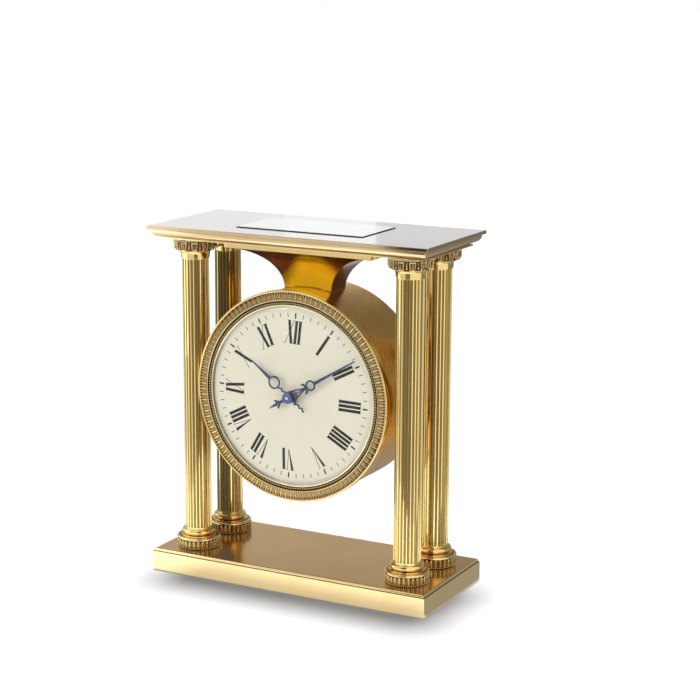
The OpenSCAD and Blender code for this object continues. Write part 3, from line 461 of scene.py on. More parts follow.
def basePlateMesh():
    # an upright face, a quirk and a quarter round; the quirk is the dark line above the face, darkened by
    # painted shade in its tone
    b = base
    face, quirkTop = b["faceTop"], b["faceTop"] + b["quirkRise"]
    side = [(b["feltBorder"], b["felt"]), (b["feltBorder"], 0.0), (b["bevel"], 0.0), (0, b["bevel"]),
            (0, face - 0.12), (0.12, face), (b["quirk"], face + 0.02), (b["quirk"], quirkTop)]
    side += arc(b["edgeIn"], quirkTop, b["quirk"] - b["edgeIn"], b["edgeRise"], 0, 90, 12)
    tones = [1] * 5 + [0.6, 0.0, 0.15] + [1] * 13
    return lofted("base plate", plateLoops(b["half"], side), loopTones=tones)


piece("basePlate", [finishTop(basePlateMesh(), plateBrass, baseTopBrass)], plateBrass)
print("base ready")

column = {"x": 71.893, "y": 18.8, "foot": 13.6, "torus": 20.7, "shaft": 25.7, "necking": 194.7,
          "capital": 199.7, "rod": 2.6, "shaftR": 8.15, "flutes": 24, "fluteWide": 1.5, "fluteEnd": 0.55,
          "fluteSteps": 10}
footOrnament = {"bedR": 12.95, "leaves": 30, "leafHalf": 1.38, "leafLow": 1.05, "leafHigh": 5.7,
                "leafBed": 12.97, "tipFrom": 0.62, "beads": 70, "beadR": 0.38, "beadAt": 13.22, "beadZ": 0.55}
capitalOrnament = {"eggs": 12, "eggHalf": 2.25, "dartHalf": 0.55, "bandR": 12.75, "bandHigh": 5.45,
                   "echinusR": 10.3, "echinusHigh": 1.8, "bend": 0.60, "sweep": 68,
                   "beads": 84, "beadR": 0.46, "beadAt": 13.12, "beadZ": 6.12,
                   "lowBeadR": 0.5, "lowBeadAt": 12.65, "lowBeadZ": 1.55}
rod = column["rod"]

# turned profiles: radius, height and, where it isn't bright, a tone of painted shade
footTurned = turned("foot ring", [
    (rod, 0), (12.9, 0, 0.1), (13.05, 0.2, 0.0), (13.05, footOrnament["leafLow"], 0.0),
    (footOrnament["bedR"], 1.1, 0.0), (footOrnament["bedR"], 5.75, 0.0), (13.2, 5.8, 0.1), (13.5, 5.85)]
    + arc(12.3, 5.9, 1.2, 1.2, 0, 90) + [
    (12.07, 7.1), (11.87, 6.5, 0.2), (11.27, 6.5, 0.2), (10.97, 7.1, 0.6), (rod, 7.1)])
torusTurned = turned("foot torus", [
    (rod, 0), (10.97, 0), (11.17, 0.2), (11.17, 0.5), (10.97, 0.7), (8.7, 0.8, 0.4)]
    + arc(8.52, 2.65, 1.85, 1.85, -80, 80, 18) + [(8.77, 4.5, 0.5), (8.77, 4.8), (8.57, 5.0), (rod, 5.0)])
neckingTurned = turned("necking", [(rod, 0), (8.42, 0, 0.4), (8.62, 0.2)]
    + arc(9.77, 0.4, 1.15, 3.8, 180, 100, 12) + [(10.07, 4.2)]
    + arc(9.87, 4.6, 0.4, 0.4, -60, 60, 6) + [(rod, 5.0)])


def capitalTurnedMesh():
    # the body behind the eggs, darkened with painted shade: a quarter hollow, a band and the bead's bed
    o = capitalOrnament
    hollow = arc(o["echinusR"], o["echinusHigh"], o["bandR"] - o["echinusR"], o["echinusHigh"], -85, 0)
    return turned("capital", [(rod, 0), (10.0, 0.0, 0.0)] + [(r, z, 0.0) for r, z in hollow] + [
        (o["bandR"], 5.6, 0.0), (12.95, 5.65, 0.0), (12.95, 6.6, 0.0), (13.35, 6.65, 0.5), (13.5, 6.9),
        (rod, 6.9)])


def bentRound(radius, sideways, z):
    # a flat ornament's point bent round the column
    bendR = 13.2
    a = sideways / bendR
    return radius * math.cos(a), radius * math.sin(a), z


sunk = -0.1  # a relief's rim dips below its bed


def footLeaf(u, v):
    # a tongue with a bright spine below and a pointed, notched tip above; its tone paints shade on the ground
    # around the spine, rim and bud
    o = footOrnament
    t = 2 * u - 1
    tip = max(0.0, (v - o["tipFrom"]) / (1 - o["tipFrom"]))
    half = o["leafHalf"] * (1 - 0.75 * tip ** 1.5)
    spine = hump(t, 0, 0.26) * min(1.0, (1 - v) / 0.25)
    rim = hump(abs(t), 0.80, 0.14)
    bud = hump(v, 0.80, 0.10) * hump(t, 0, 0.5)
    height = 0.02 + 0.42 * spine + 0.26 * rim + 0.30 * bud
    if abs(t) > 0.99 or v > 0.99:
        height = sunk
    z = o["leafLow"] + (o["leafHigh"] - o["leafLow"]) * v
    tone = min(1.0, 0.05 + 0.95 * spine + 0.6 * rim + 0.8 * bud)
    return *bentRound(o["leafBed"] + height, half * t, z), tone


def echinus(s):
    # the capital's side: down the band, then in along the echinus; gives radius, height and outward normal
    o = capitalOrnament
    band, foot, high = o["bandR"], o["echinusR"], o["echinusHigh"]
    if s < o["bend"]:
        return band, o["bandHigh"] - s / o["bend"] * (o["bandHigh"] - high), 1.0, 0.0
    a = math.radians((s - o["bend"]) / (1 - o["bend"]) * o["sweep"])
    return foot + (band - foot) * math.cos(a), high - high * math.sin(a), math.cos(a), -math.sin(a)


def egg(u, v):
    # a shield with a raised bright border, square above and narrow below, around a rounded tongue; its tone
    # paints shade on the ground between border and tongue
    t = 2 * u - 1
    half = capitalOrnament["eggHalf"] * (1.0 - 0.40 * v ** 1.5)
    r, z, nr, nz = echinus(v)
    inside = abs(t) < 0.85
    rim = min(1.0, hump(abs(t), 0.80, 0.15) + (hump(v, 0.07, 0.07) + hump(v, 0.90, 0.08)) * inside)
    dome = max(0.0, 1 - (t / 0.52) ** 2) * max(0.0, 1 - ((v - 0.48) / 0.38) ** 2)
    height = 0.52 * rim + 0.30 * dome
    if abs(t) > 0.99 or v < 0.01 or v > 0.99:
        height = sunk
    point = bentRound(r + height * nr, half * t, z + height * nz)
    return *point, min(1.0, 0.02 + 0.98 * rim + 0.45 * dome ** 2)


def dart(u, v):
    # the tone paints shade on the dart's sides, beside its brighter ridge
    t = 2 * u - 1
    half = capitalOrnament["dartHalf"] * (0.8 + 0.5 * v)
    r, z, nr, nz = echinus(0.03 + 0.62 * v)
    ridge = max(0.0, 1 - abs(t))
    height = -0.05 + 0.45 * ridge
    return *bentRound(r + height * nr, half * t, z + height * nz), 0.1 + 0.6 * ridge


def beadsRound(name, radius, count, at, z, start=0.0):
    return raised(ringOf(name + "s", bead(name, radius), beadBrass, count, at, start, 80), z)


def footMeshes():
    o = footOrnament
    return [
        footTurned,
        ringOf("foot leaves", relief("foot leaf", 12, 8, footLeaf), carvedBrass, o["leaves"], smooth=70),
        beadsRound("foot bead", o["beadR"], o["beads"], o["beadAt"], o["beadZ"]),
    ]


def capitalMeshes():
    o = capitalOrnament
    halfStep = 180 / o["eggs"]
    return [
        capitalTurnedMesh(),
        ringOf("eggs", relief("egg", 16, 14, egg), carvedBrass, o["eggs"], smooth=70),
        ringOf("darts", relief("dart", 4, 6, dart), carvedBrass, o["eggs"], start=halfStep, smooth=70),
        beadsRound("capital bead", o["beadR"], o["beads"], o["beadAt"], o["beadZ"]),
        beadsRound("low bead", o["lowBeadR"], o["eggs"], o["lowBeadAt"], o["lowBeadZ"], halfStep),
    ]


def flutedShaft():
    # round-ended flutes: each angle has a share of its flute's width, or None on the flat between two
    c = column
    length, end, cut, steps = c["necking"] - c["shaft"], c["fluteEnd"], c["fluteWide"] / 2, c["fluteSteps"]
    levels = [0, end] + [end + cut * (1 - math.cos(math.radians(a))) for a in (20, 40, 60, 80)]
    levels += [end + cut + 0.1, length / 2]
    levels += [length - z for z in reversed(levels[:-1])]
    around, verts, tones = [], [], []
    pitch, halfWide = 360 / c["flutes"], math.degrees(2 * math.asin(cut / 2 / c["shaftR"]))
    for i in range(c["flutes"]):
        around += [(i * pitch - halfWide + 2 * halfWide * k / steps, k / steps) for k in range(steps + 1)]
        around.append((i * pitch + pitch / 2, None))
    # painted shade in the flutes' bottoms
    fluteShade = 0.85  # how far the tone falls in a flute's bottom
    for z in levels:
        rise = max(0.0, min(z, length - z) - end)
        depthShare = 1.0 if rise >= cut else math.sqrt(max(0.0, 1 - (1 - rise / cut) ** 2))
        for angle, share in around:
            side = 1 if share is None else 2 * share - 1
            depth = cut * math.sqrt(max(0.0, 1 - side * side)) * depthShare
            r, a = c["shaftR"] - depth, math.radians(angle)
            verts.append((r * math.cos(a), r * math.sin(a), z))
            tones.append(1.0 - fluteShade * depth / cut)
    n = len(around)
    return lofted("shaft", [verts[k * n:(k + 1) * n] for k in range(len(levels))], 50, tones=tones)


columnParts = {  # of each part: the height it stands at, its meshes, its finish and its slot
    "footRing": ("foot", footMeshes(), carvedBrass, "antique_brass"),
    "footTorus": ("torus", [torusTurned], polishedBrass, "polished_brass"),
    "shaft": ("shaft", [flutedShaft()], fluteBrass, "fluted_brass"),
    "necking": ("necking", [neckingTurned], polishedBrass, "polished_brass"),
    "capital": ("capital", capitalMeshes(), carvedBrass, "antique_brass"),
}
columnSides = {"front_left": (-1, -1), "front_right": (1, -1), "back_left": (-1, 1), "back_right": (1, 1)}
for side, (sx, sy) in columnSides.items():
    for part, (level, meshes, finish, slotName) in columnParts.items():
        stand = Matrix.Translation(Vector((sx * column["x"], sy * column["y"], column[level])) * mm)
        piece(part + "_" + side, meshes, finish, place=stand)
print("columns ready")

lintel = {"half": (87.65, 32.1), "low": 206.6, "high": 208.6, "fillet": 1.2}
cornice = {"half": (92.4, 40.45), "low": 208.6, "high": 215.0, "footIn": 4.6, "coveOut": 1.9,
           "coveRise": 4.1, "coveTop": 212.9, "lipIn": 0.25}
soffit = {"half": (49.0, 23.35), "low": 202.6, "high": 206.6}
panel = {"half": (42.0, 21.175), "shiftY": 0.7, "trayHalf": (42.5, 21.675), "trayLow": 211.4,
         "glassLow": 213.0, "glassHigh": 215.5, "gap": 0.1}


def lintelMesh():
    low, high, step = lintel["low"], lintel["high"], lintel["fillet"]
    side = [(0.2, 0), (0.05, 0.05), (0, 0.2), (0, 0.9), (0.08, 1.05), (step, 1.1), (step, high - low)]
    return lofted("lintel plate", plateLoops(lintel["half"], [(inset, low + z) for inset, z in side]))


def shifted(loop):
    return [(x, y + panel["shiftY"], z) for x, y, z in loop]


def corniceMesh():
    # a cove under an upright lip, and a hole in the top for the solar panel's tray
    c = cornice
    low, high, out = c["low"], c["high"], c["coveOut"]
    side = [(c["footIn"], low)]
    side += arc(c["footIn"], low + c["coveRise"], c["footIn"] - out, c["coveRise"], 270, 180, 14)
    side += [(out, c["coveTop"]), (c["lipIn"], c["coveTop"]), (0, c["coveTop"] + 0.2), (0, high - 0.5),
             (0.12, high - 0.15), (0.5, high)]
    halfX, halfY = (half + panel["gap"] for half in panel["trayHalf"])
    hole = [shifted(roundedLoop(halfX, halfY, 0.25, z)) for z in (high, panel["trayLow"])]
    # painted shade at the cove's foot and under the lip
    tones = [0.3, 0.5] + [1] * 13 + [0.5, 0.5] + [1] * 7
    return lofted("cornice", plateLoops(c["half"], side) + hole, loopTones=tones)


def panelGlassMesh():
    low, high = panel["glassLow"], panel["glassHigh"]
    side = [(0, low), (0, high - 0.15), (0.05, high - 0.05), (0.15, high)]
    return lofted("solar glass", [shifted(loop) for loop in plateLoops(panel["half"], side, 0.3)])


soffitMesh = lofted("soffit plate", plateLoops(soffit["half"], [
    (0.15, soffit["low"]), (0, soffit["low"] + 0.15), (0, soffit["high"])], 0.2))
piece("lintelPlate", [lintelMesh()], plateBrass)
piece("cornice", [finishTop(corniceMesh(), fasciaBrass, corniceTopBrass)], fasciaBrass)
piece("soffitPlate", [soffitMesh], polishedBrass)

neck = {"waist": (15.6, 9.3), "top": (49.0, 23.35), "foot": 178.811, "rise": 23.789, "drumR": 62.25,
        "steps": 28, "perSide": 16, "sunkFoot": 4, "paintedLightAt": 5, "paintedLightLeft": 8.5, "paintedLightRight": 9.5,
        "paintedLight": 1.25, "endFrom": 0.42, "endOver": 0.2, "drumTone": 0.2}


def neckMesh():
    # four coved sides: each section is a rectangle, and the foot follows the drum; a tone paints reflections
    # over the faces
    n = neck
    perSide, steps = n["perSide"], n["steps"]

    def onDrum(p):
        overDrum = 16
        drumTop = axisZ + math.sqrt(max(0.0, n["drumR"] ** 2 - p[0] ** 2)) if abs(p[0]) < overDrum else 0
        return (p[0], p[1], max(p[2], drumTop))

    def paintedReflectionAt(x, y, z, rise, halfY):
        # painted reflections: front and back are bright in the middle, the ends are bright at the top, and a
        # dark line runs where the foot meets the drum
        nearDrum, onFace = 0.05, 0.01
        if z < onDrum((x, y, 0))[2] + nearDrum:
            return n["drumTone"]
        if abs(y) < halfY - onFace:
            return unit((rise - n["endFrom"]) / n["endOver"])
        wide = n["paintedLightLeft"] if x < n["paintedLightAt"] else n["paintedLightRight"]
        wings = ((x - n["paintedLightAt"]) / wide) ** 2 * rise ** 1.2
        return unit(n["paintedLight"] - wings - 2.0 * rise ** 4)

    loops, tones = [], []
    for k in [0] + list(range(steps + 1)):
        a = math.radians(180 - 90 * k / steps)
        halfX, halfY = (top + (top - waist) * math.cos(a) for top, waist in zip(n["top"], n["waist"]))
        z = n["foot"] + n["rise"] * math.sin(a) - (0 if loops else n["sunkFoot"])
        corners = [(halfX, -halfY), (halfX, halfY), (-halfX, halfY), (-halfX, -halfY)]
        loop = [(x0 + (x1 - x0) * t / perSide, y0 + (y1 - y0) * t / perSide, z)
                for (x0, y0), (x1, y1) in zip(corners, corners[1:] + corners[:1]) for t in range(perSide)]
        loops.append(loop)
        tones += [paintedReflectionAt(*point, k / steps, halfY) for point in loop]
    mesh = lofted("neck", loops, 20, onDrum, tones=tones)
    for finish in (neckBrass, neckSideBrass):
        mesh.materials.append(finish)
    for face in mesh.polygons[:perSide * 4 * (len(loops) - 1)]:
        face.material_index = int(face.index // perSide % 2 == 0)
    return mesh


piece("neck", [neckMesh()], neckBrass)
piece("solarGlass", [finishTop(panelGlassMesh(), blackPlastic, opalGlass)], opalGlass)
print("top ready")

drum = {"r": 62.2, "bore": 60.0, "front": 26.0, "back": -22.0, "rim": 0.15,
        "ledgeR": 54.0, "ledge": 3.0, "frontLedge": 18.0, "rearLedge": -17.0}
cover = {"r": 59.9, "thick": 2.0, "bossR": 4.5, "boss": 2.0, "hole": 1.56, "groove": (4.3, 5.6),
         "grooveDeep": 0.25}


def ledgeAt(z):
    bore, r, low = drum["bore"], drum["ledgeR"], z - drum["ledge"]
    return [(bore, z), (r, z), (r, low), (bore, low)]


def drumShellMesh():
    r, bore, back, front, rim = drum["r"], drum["bore"], drum["back"], drum["front"], drum["rim"]
    outside = [(bore, back), (r - rim, back), (r, back + rim), (r, front - rim), (r - rim, front),
               (bore, front)]
    return turned("drum shell", outside + ledgeAt(drum["frontLedge"]) + ledgeAt(drum["rearLedge"]), fine, 25)


def rearCoverMesh():
    hole, boss, r, back = cover["hole"], cover["bossR"], cover["r"], drum["back"]
    inside, floor = back + cover["thick"], back + cover["grooveDeep"]
    (inner, outer), end = cover["groove"], inside + cover["boss"]
    # the groove's floor takes a darker tone, painted shade
    return turned("rear cover", [
        (hole, back), (inner, back), (inner, floor, 0.6), (outer, floor, 0.6), (outer, back), (r - 0.3, back),
        (r, back + 0.2), (r, inside), (boss, inside), (boss, end), (hole, end)], medium, 25)


piece("drumShell", [drumShellMesh()], drumBrass, place=dialPlace)
piece("rearCover", [rearCoverMesh()], plateBrass, place=dialPlace)

screwHead = {"r": 2.45, "slot": 0.5, "deep": 0.35, "cone": 1.2, "coneIn": 0.6, "rim": 0.12, "steps": 24}
coverScrews = {"r": 57.0, "count": 4, "start": 45, "z": -21.95}
corniceScrews = {"x": 54.0, "y": 11.8, "z": 206.65}


def slottedHead():
    # a flat screw head with a straight slot, looking along -Z with its top on z = 0
    s = screwHead
    steps, half, radius = s["steps"], s["steps"] // 2, s["r"]
    long, wide = radius - s["rim"], s["slot"] / 2
    verts, faces = [], sideFaces(steps, 3)
    for level, r in ((-s["cone"], radius - s["coneIn"]), (-s["rim"], radius), (0.0, long)):
        for i in range(steps):
            a = 2 * math.pi * (i + 0.5) / steps
            verts.append((r * math.cos(a), r * math.sin(a), level))
    rim = 2 * steps
    a, b, c, d, e, f, g, h = range(len(verts), len(verts) + 8)  # the slot's corners, above and then below
    verts += [(x, y, z) for z in (0, -s["deep"])
              for x, y in ((long, -wide), (long, wide), (-long, wide), (-long, -wide))]
    faces += [
        (b, *range(rim, rim + half), c), (d, *range(rim + half, rim + steps), a),
        (b, c, g, f), (d, a, e, h), (e, f, g, h),
        (rim + steps - 1, rim, b, f, e, a), (rim + half - 1, rim + half, d, h, g, c)]
    head = meshOf("screw head", verts, faces, None, 30)
    head.transform(Matrix.Rotation(math.pi, 4, "X"))
    return head


def screwPieces():
    c = coverScrews
    onCover = ringOf("cover screws", slottedHead(), polishedBrass, c["count"], c["r"], c["start"], 30)
    piece("rearCoverScrews", [raised(onCover, c["z"])], polishedBrass, place=dialPlace)
    c = corniceScrews
    places = [(sx * c["x"], sy * c["y"], c["z"]) for sx in (-1, 1) for sy in (-1, 1)]
    inLintel = repeated("lintel screws", slottedHead(), polishedBrass, pointTree, places, 30)
    piece("corniceScrews", [inLintel], polishedBrass)


screwPieces()
print("drum ready")

bezel = {"r": 63.5, "rim": 0.6, "front": 30.0, "leafOut": 62.3, "leafIn": 58.0, "leafAt": 60.0, "leaves": 110,
         "beads": 220, "beadR": 0.45, "beadAt": 55.875, "beadZ": 29.80, "bead": 29.3, "sightSeat": 54.67,
         "dialSeat": 55.75, "dialFront": 28.2, "sightAt": 54.45, "sightZ": 29.5, "sightWide": 0.55}


def bezelBodyMesh():
    # a rounded rim, the bed of the leaves dark with painted shade, a bright lip, and the bed of the beads and
    # the seat beyond it, also darkened by painted shade
    b = bezel
    r, rim, front, inner, bed, back = b["r"], b["rim"], b["front"], b["leafIn"], b["bead"], drum["front"]
    return turned("bezel", [(inner, back), (r - 0.4, back), (r, back + 0.4)]
        + arc(r - rim, front + 0.2, rim, rim, 0, 150, 10) + [
        (b["leafOut"], front, 0.1), (inner - 0.05, front, 0.0), (inner - 0.15, front + 0.2, 0.6),
        (inner - 0.45, front + 0.3, 0.9), (inner - 0.75, front + 0.2, 0.6), (inner - 0.9, front - 0.1, 0.0),
        (inner - 1.0, bed, 0.0), (b["sightSeat"], bed, 0.0), (b["sightSeat"], b["dialFront"], 0.2),
        (b["dialSeat"], b["dialFront"], 0.2), (b["dialSeat"], back)], fine)


def bezelLeaf(u, v):
    # a flat leaf between two bright ribs, with hollows on each side of its tip that are darkened by painted
    # shade
    t = abs(2 * u - 1)
    inner, outer = bezel["leafIn"], bezel["leafOut"]
    rib = hump(t, 1, 0.14)
    spine = hump(t, 0, 0.13) * (0.45 + 0.55 * (v > 0.7))
    hollow = unit((v - 0.62) / 0.2) * hump(t, 0.52, 0.24)
    height = 0.16 + 0.30 * rib + 0.16 * spine - 0.22 * hollow
    tone = unit(0.32 + 0.60 * rib + 0.40 * spine - 0.75 * hollow)
    r = inner + (outer - inner) * v
    sideways = (2 * u - 1) * math.pi * r / bezel["leaves"]
    return r - bezel["leafAt"], sideways, bezel["front"] + height, tone


def bezelPieces():
    b = bezel
    leaf = relief("bezel leaf", 16, 9, bezelLeaf)
    leaves = ringOf("bezel leaves", leaf, carvedBrass, b["leaves"], b["leafAt"], smooth=70)
    ball = bead("bezel bead", b["beadR"], 8, 4, -0.3)
    ball.transform(Matrix.Rotation(-math.pi / 2, 4, "Y"))
    beads = raised(ringOf("bezel beads", ball, beadBrass, b["beads"], b["beadAt"], smooth=80), b["beadZ"])
    bedLow, bedHigh = b["bead"] + 0.02, b["bead"] + 0.2
    # the beads' bed is dark with painted shade
    bed = [(55.2, bedLow, 0.0), (56.6, bedLow, 0.0), (56.4, bedHigh, 0.0), (55.4, bedHigh, 0.0)]
    wide, at, z = b["sightWide"], b["sightAt"], b["sightZ"]
    sight = [(at - wide, bedLow), (at + wide, bedLow)] + arc(at, z, wide, wide, 0, 180, 14)
    piece("bezel", [bezelBodyMesh(), leaves], carvedBrass, place=dialPlace)
    piece("beadRing", [beads, turned("bead bed", bed, medium)], carvedBrass, place=dialPlace)
    piece("sightRing", [turned("sight ring", sight, fine)], ringBrass, place=dialPlace)


bezelPieces()

crystal = {"r": 53.5, "wall": 1.3, "edge": 29.3, "seat": 28.4, "flangeR": 54.5, "holeR": 52.2,
           "rise": 8.5, "bend": 4.0, "upright": 1.0}


def crystalSide(inset):
    # a tight bend at the edge that runs into the wide dome, up to the pole
    c = crystal
    crown = c["edge"] + c["rise"]
    bx, bz = c["r"] - c["bend"], c["edge"] + c["upright"]
    drop = crown - bz
    big = (bx ** 2 + drop ** 2 - c["bend"] ** 2) / (2 * (drop - c["bend"]))
    meet = 90 - math.degrees(math.asin(bx / (big - c["bend"])))
    side = arc(bx, bz, c["bend"] - inset, c["bend"] - inset, 0, meet, 12)
    side += arc(0, crown - big, big - inset, big - inset, meet, 90, 28)[1:]
    return side[:-1] + [(0.0, side[-1][1])]


def crystalMesh():
    c = crystal
    outer, seat, edge = c["flangeR"], c["seat"], c["edge"]
    flange = [(c["holeR"], seat), (outer, seat), (outer, edge), (c["r"], edge)]
    return turned("crystal", flange + crystalSide(0) + crystalSide(c["wall"])[::-1], fine, 40)


piece("crystal", [crystalMesh()], crystalGlass, place=dialPlace)
print("bezel and crystal ready")

dial = {"r": 55.65, "hole": 3.41, "back": 27.4, "front": 28.2, "turn": 2.9, "low": 32.0, "high": 45.5,
        "thick": 1.78, "thin": 0.34, "serif": 0.24, "relief": 0.03, "innerShift": (-0.9, -0.4)}
ticks = {"minute": {"low": 47.3, "high": 49.8, "wide": 0.42, "count": 60},
         "hour": {"low": 46.8, "high": 50.0, "wide": 0.95, "count": 12}}


def dialMesh():
    r, hole, back, front, edge, lip = dial["r"], dial["hole"], dial["back"], dial["front"], 0.02, 0.04
    return turned("dial", [(hole, back), (r, back), (r, front - edge), (r - edge, front), (hole + lip, front),
                           (hole, front - lip)], medium)


def slab(x0, x1, y0, y1, halfLow, halfHigh):
    # four corners of a bar whose middle runs from (x0, y0) to (x1, y1)
    return [(x0 - halfLow, y0), (x0 + halfLow, y0), (x1 + halfHigh, y1), (x1 - halfHigh, y1)]


def serifAt(x, y, half):
    return slab(x, x, y, y + dial["serif"], half, half)


def stroke(x0, x1, wide, serifLow=0.0, serifHigh=0.0):
    # a bar from the numeral's foot at x0 to its head at x1, with thin serifs
    low, high = dial["low"], dial["high"]
    shapes = [slab(x0, x1, low, high, wide / 2, wide / 2)]
    for x, y, half in ((x0, low, serifLow), (x1, high - dial["serif"], serifHigh)):
        if half:
            shapes.append(serifAt(x, y, half))
    return shapes


def letter(kind, x):
    thick, thin, low, high = dial["thick"], dial["thin"], dial["low"], dial["high"]
    wideSerif, crossSerif, thinSerif = 1.25, 1.2, 0.85
    if kind == "I":
        return stroke(x, x, thick, wideSerif, wideSerif)
    if kind == "V":
        foot, left, right = x + 0.45, x - 1.7, x + 1.75
        wedge = slab(foot, left, low, high, 0.13, thick / 2)
        headSerif = serifAt(x - 1.725, high - dial["serif"], 1.225)
        return [wedge] + stroke(foot, right, thin, 0, thinSerif) + [headSerif]
    return (stroke(x + 1.25, x - 1.3, thick, crossSerif, crossSerif)
            + stroke(x - 2.9, x + 2.1, thin, thinSerif, thinSerif))


numeralPlan = {  # letters of each hour and where they stand, from the numeral's middle
    1: [("I", -0.15)], 2: [("I", -1.45), ("I", 1.05)], 3: [("I", -2.75), ("I", -0.25), ("I", 2.25)],
    4: [("I", -3.4), ("I", -0.9), ("I", 1.6), ("I", 4.1)], 5: [("V", 0.5)],
    6: [("V", -0.7), ("I", 3.35)], 7: [("V", -2.4), ("I", 1.55), ("I", 4.05)],
    8: [("V", -3.2), ("I", 0.5), ("I", 3.0), ("I", 5.5)], 9: [("I", -2.85), ("X", 1.1)],
    10: [("X", -0.2)], 11: [("X", -1.4), ("I", 2.7)], 12: [("X", -2.7), ("I", 1.0), ("I", 3.5)],
}


def flatShapes(name, shapes, angle=0):
    # thin raised shapes on the dial, turned clockwise from its twelve
    verts, faces = [], []
    a = math.radians(angle)
    for shape in shapes:
        n, start = len(shape), len(verts)
        for z in (dial["front"], dial["front"] + dial["relief"]):
            for x, y in shape:
                verts.append((x * math.cos(a) + y * math.sin(a), y * math.cos(a) - x * math.sin(a), z))
        faces.append(tuple(range(start + n, start + 2 * n)))
        faces.append(tuple(range(start, start + n))[::-1])
        faces += sideFaces(n, 2, start)
    return meshOf(name, verts, faces, None, 30)


def numeralMesh(hour, letters):
    # the inner ends move a little to the left and down, as the dome shows them
    d = dial
    shapes = [shape for kind, x in letters for shape in letter(kind, x)]
    mesh = flatShapes("numeral", shapes, 30 * hour + d["turn"])
    for vert in mesh.vertices:
        share = (d["high"] * mm - vert.co.xy.length) / ((d["high"] - d["low"]) * mm)
        vert.co.xy += Vector(d["innerShift"]) * mm * share
    return mesh


def tickRing(name, low, high, wide, count):
    half = wide / 2
    bar = flatShapes(name + " tick", [[(low, -half), (high, -half), (high, half), (low, half)]])
    return ringOf(name + " ticks", bar, dialInk, count, 0, 90 - dial["turn"], 30)


dialPrint = [numeralMesh(hour, letters) for hour, letters in numeralPlan.items()]
dialPrint += [tickRing(name, **sizes) for name, sizes in ticks.items()]
piece("dial", [dialMesh()], dialEnamel, place=dialPlace)
piece("dialPrint", dialPrint, dialInk, place=dialPlace)
print("dial ready")

knob = {"r": 8.6, "front": -22.5, "back": -31.5, "skirt": -29.5, "bossR": 4.5, "hole": 1.52,
        "holeEnd": -24.0, "ridges": 36, "ridgeAt": 8.5, "ridgeHigh": 0.5, "ridgeHalf": 0.62,
        "ridgeFrom": -22.9, "ridgeLong": 6.0}


def knobMesh():
    k = knob
    r, front, back, skirt, boss = k["r"], k["front"], k["back"], k["skirt"], k["bossR"]
    return turned("knob", [
        (k["hole"], front), (r - 0.3, front), (r, front - 0.3), (r, skirt + 0.5), (r - 0.4, skirt),
        (boss + 0.7, skirt), (boss, skirt - 0.3), (boss, back + 0.3), (boss - 0.3, back), (0.0, back),
        (0.0, k["holeEnd"]), (k["hole"], k["holeEnd"])][::-1])


def ridge(u, v):
    k = knob
    t = 2 * u - 1
    ends = 6  # each end slopes over a sixth of the length
    lift = math.sqrt(max(0.0, 1 - t * t)) * min(1.0, v * ends, (1 - v) * ends)
    z = k["ridgeFrom"] - k["ridgeLong"] * v
    return k["ridgeAt"] + k["ridgeHigh"] * lift, k["ridgeHalf"] * t, z, 1.0


ridges = ringOf("knob ridges", relief("ridge", 6, 8, ridge), polishedBrass, knob["ridges"], smooth=70)
piece("settingKnob", [knobMesh(), ridges], polishedBrass, body="minute_train", place=dialPlace)

keptFinish = [  # what the nodes that keep the mesh of the CAD are made of
    (plainSteel, ["tie_rods", "tie_rod_nuts", "soffit_screws", "neck_screws", "carrier_plate",
                  "carrier_screws", "movement_lid", "movement_screws", "minute_post", "cannon_pinion",
                  "centre_arbor"]),
    (polishedBrass, ["dial_feet", "minute_wheel", "hour_wheel"]),
    (blackPlastic, ["solar_tray", "movement_case", "cell_holder"]),
    (blueSteel, ["hour_hand", "minute_hand"]), (nutBlue, ["hand_nut"]), (greenFelt, ["base_felt"]),
    (cellBlue, ["solar_cell"]), (wireCover, ["solar_lead"]), (cellCan, ["rechargeable_cell"]),
]
for finish, keptNodes in keptFinish:
    for node in keptNodes:
        for slotOf in nodes[node].material_slots:
            slotOf.material = finish
print("pieces ready")

view = {"azimuth": 28.59, "elevation": 13.10, "roll": 0.08, "at": (0.53548, -0.98255, 0.38138),
        "lens": 98.2, "sensor": 36, "shift": (0.0499, 0.0468), "clipEnd": 50}


def makeCamera():
    az, el = math.radians(view["azimuth"]), math.radians(view["elevation"])
    back = Vector((math.sin(az) * math.cos(el), -math.cos(az) * math.cos(el), math.sin(el)))
    right = Vector((math.cos(az), math.sin(az), 0))
    up = back.cross(right)
    roll = math.radians(view["roll"])
    right, up = (right * math.cos(roll) + up * math.sin(roll), up * math.cos(roll) - right * math.sin(roll))
    camera = bpy.data.objects.new("camera", bpy.data.cameras.new("camera"))
    camera.matrix_world = Matrix.Translation(view["at"]) @ Matrix((right, up, back)).transposed().to_4x4()
    camera.data.lens, camera.data.sensor_width = view["lens"], view["sensor"]
    camera.data.shift_x, camera.data.shift_y = view["shift"]
    camera.data.clip_end = view["clipEnd"]
    scene.collection.objects.link(camera)
    scene.camera = camera


makeCamera()

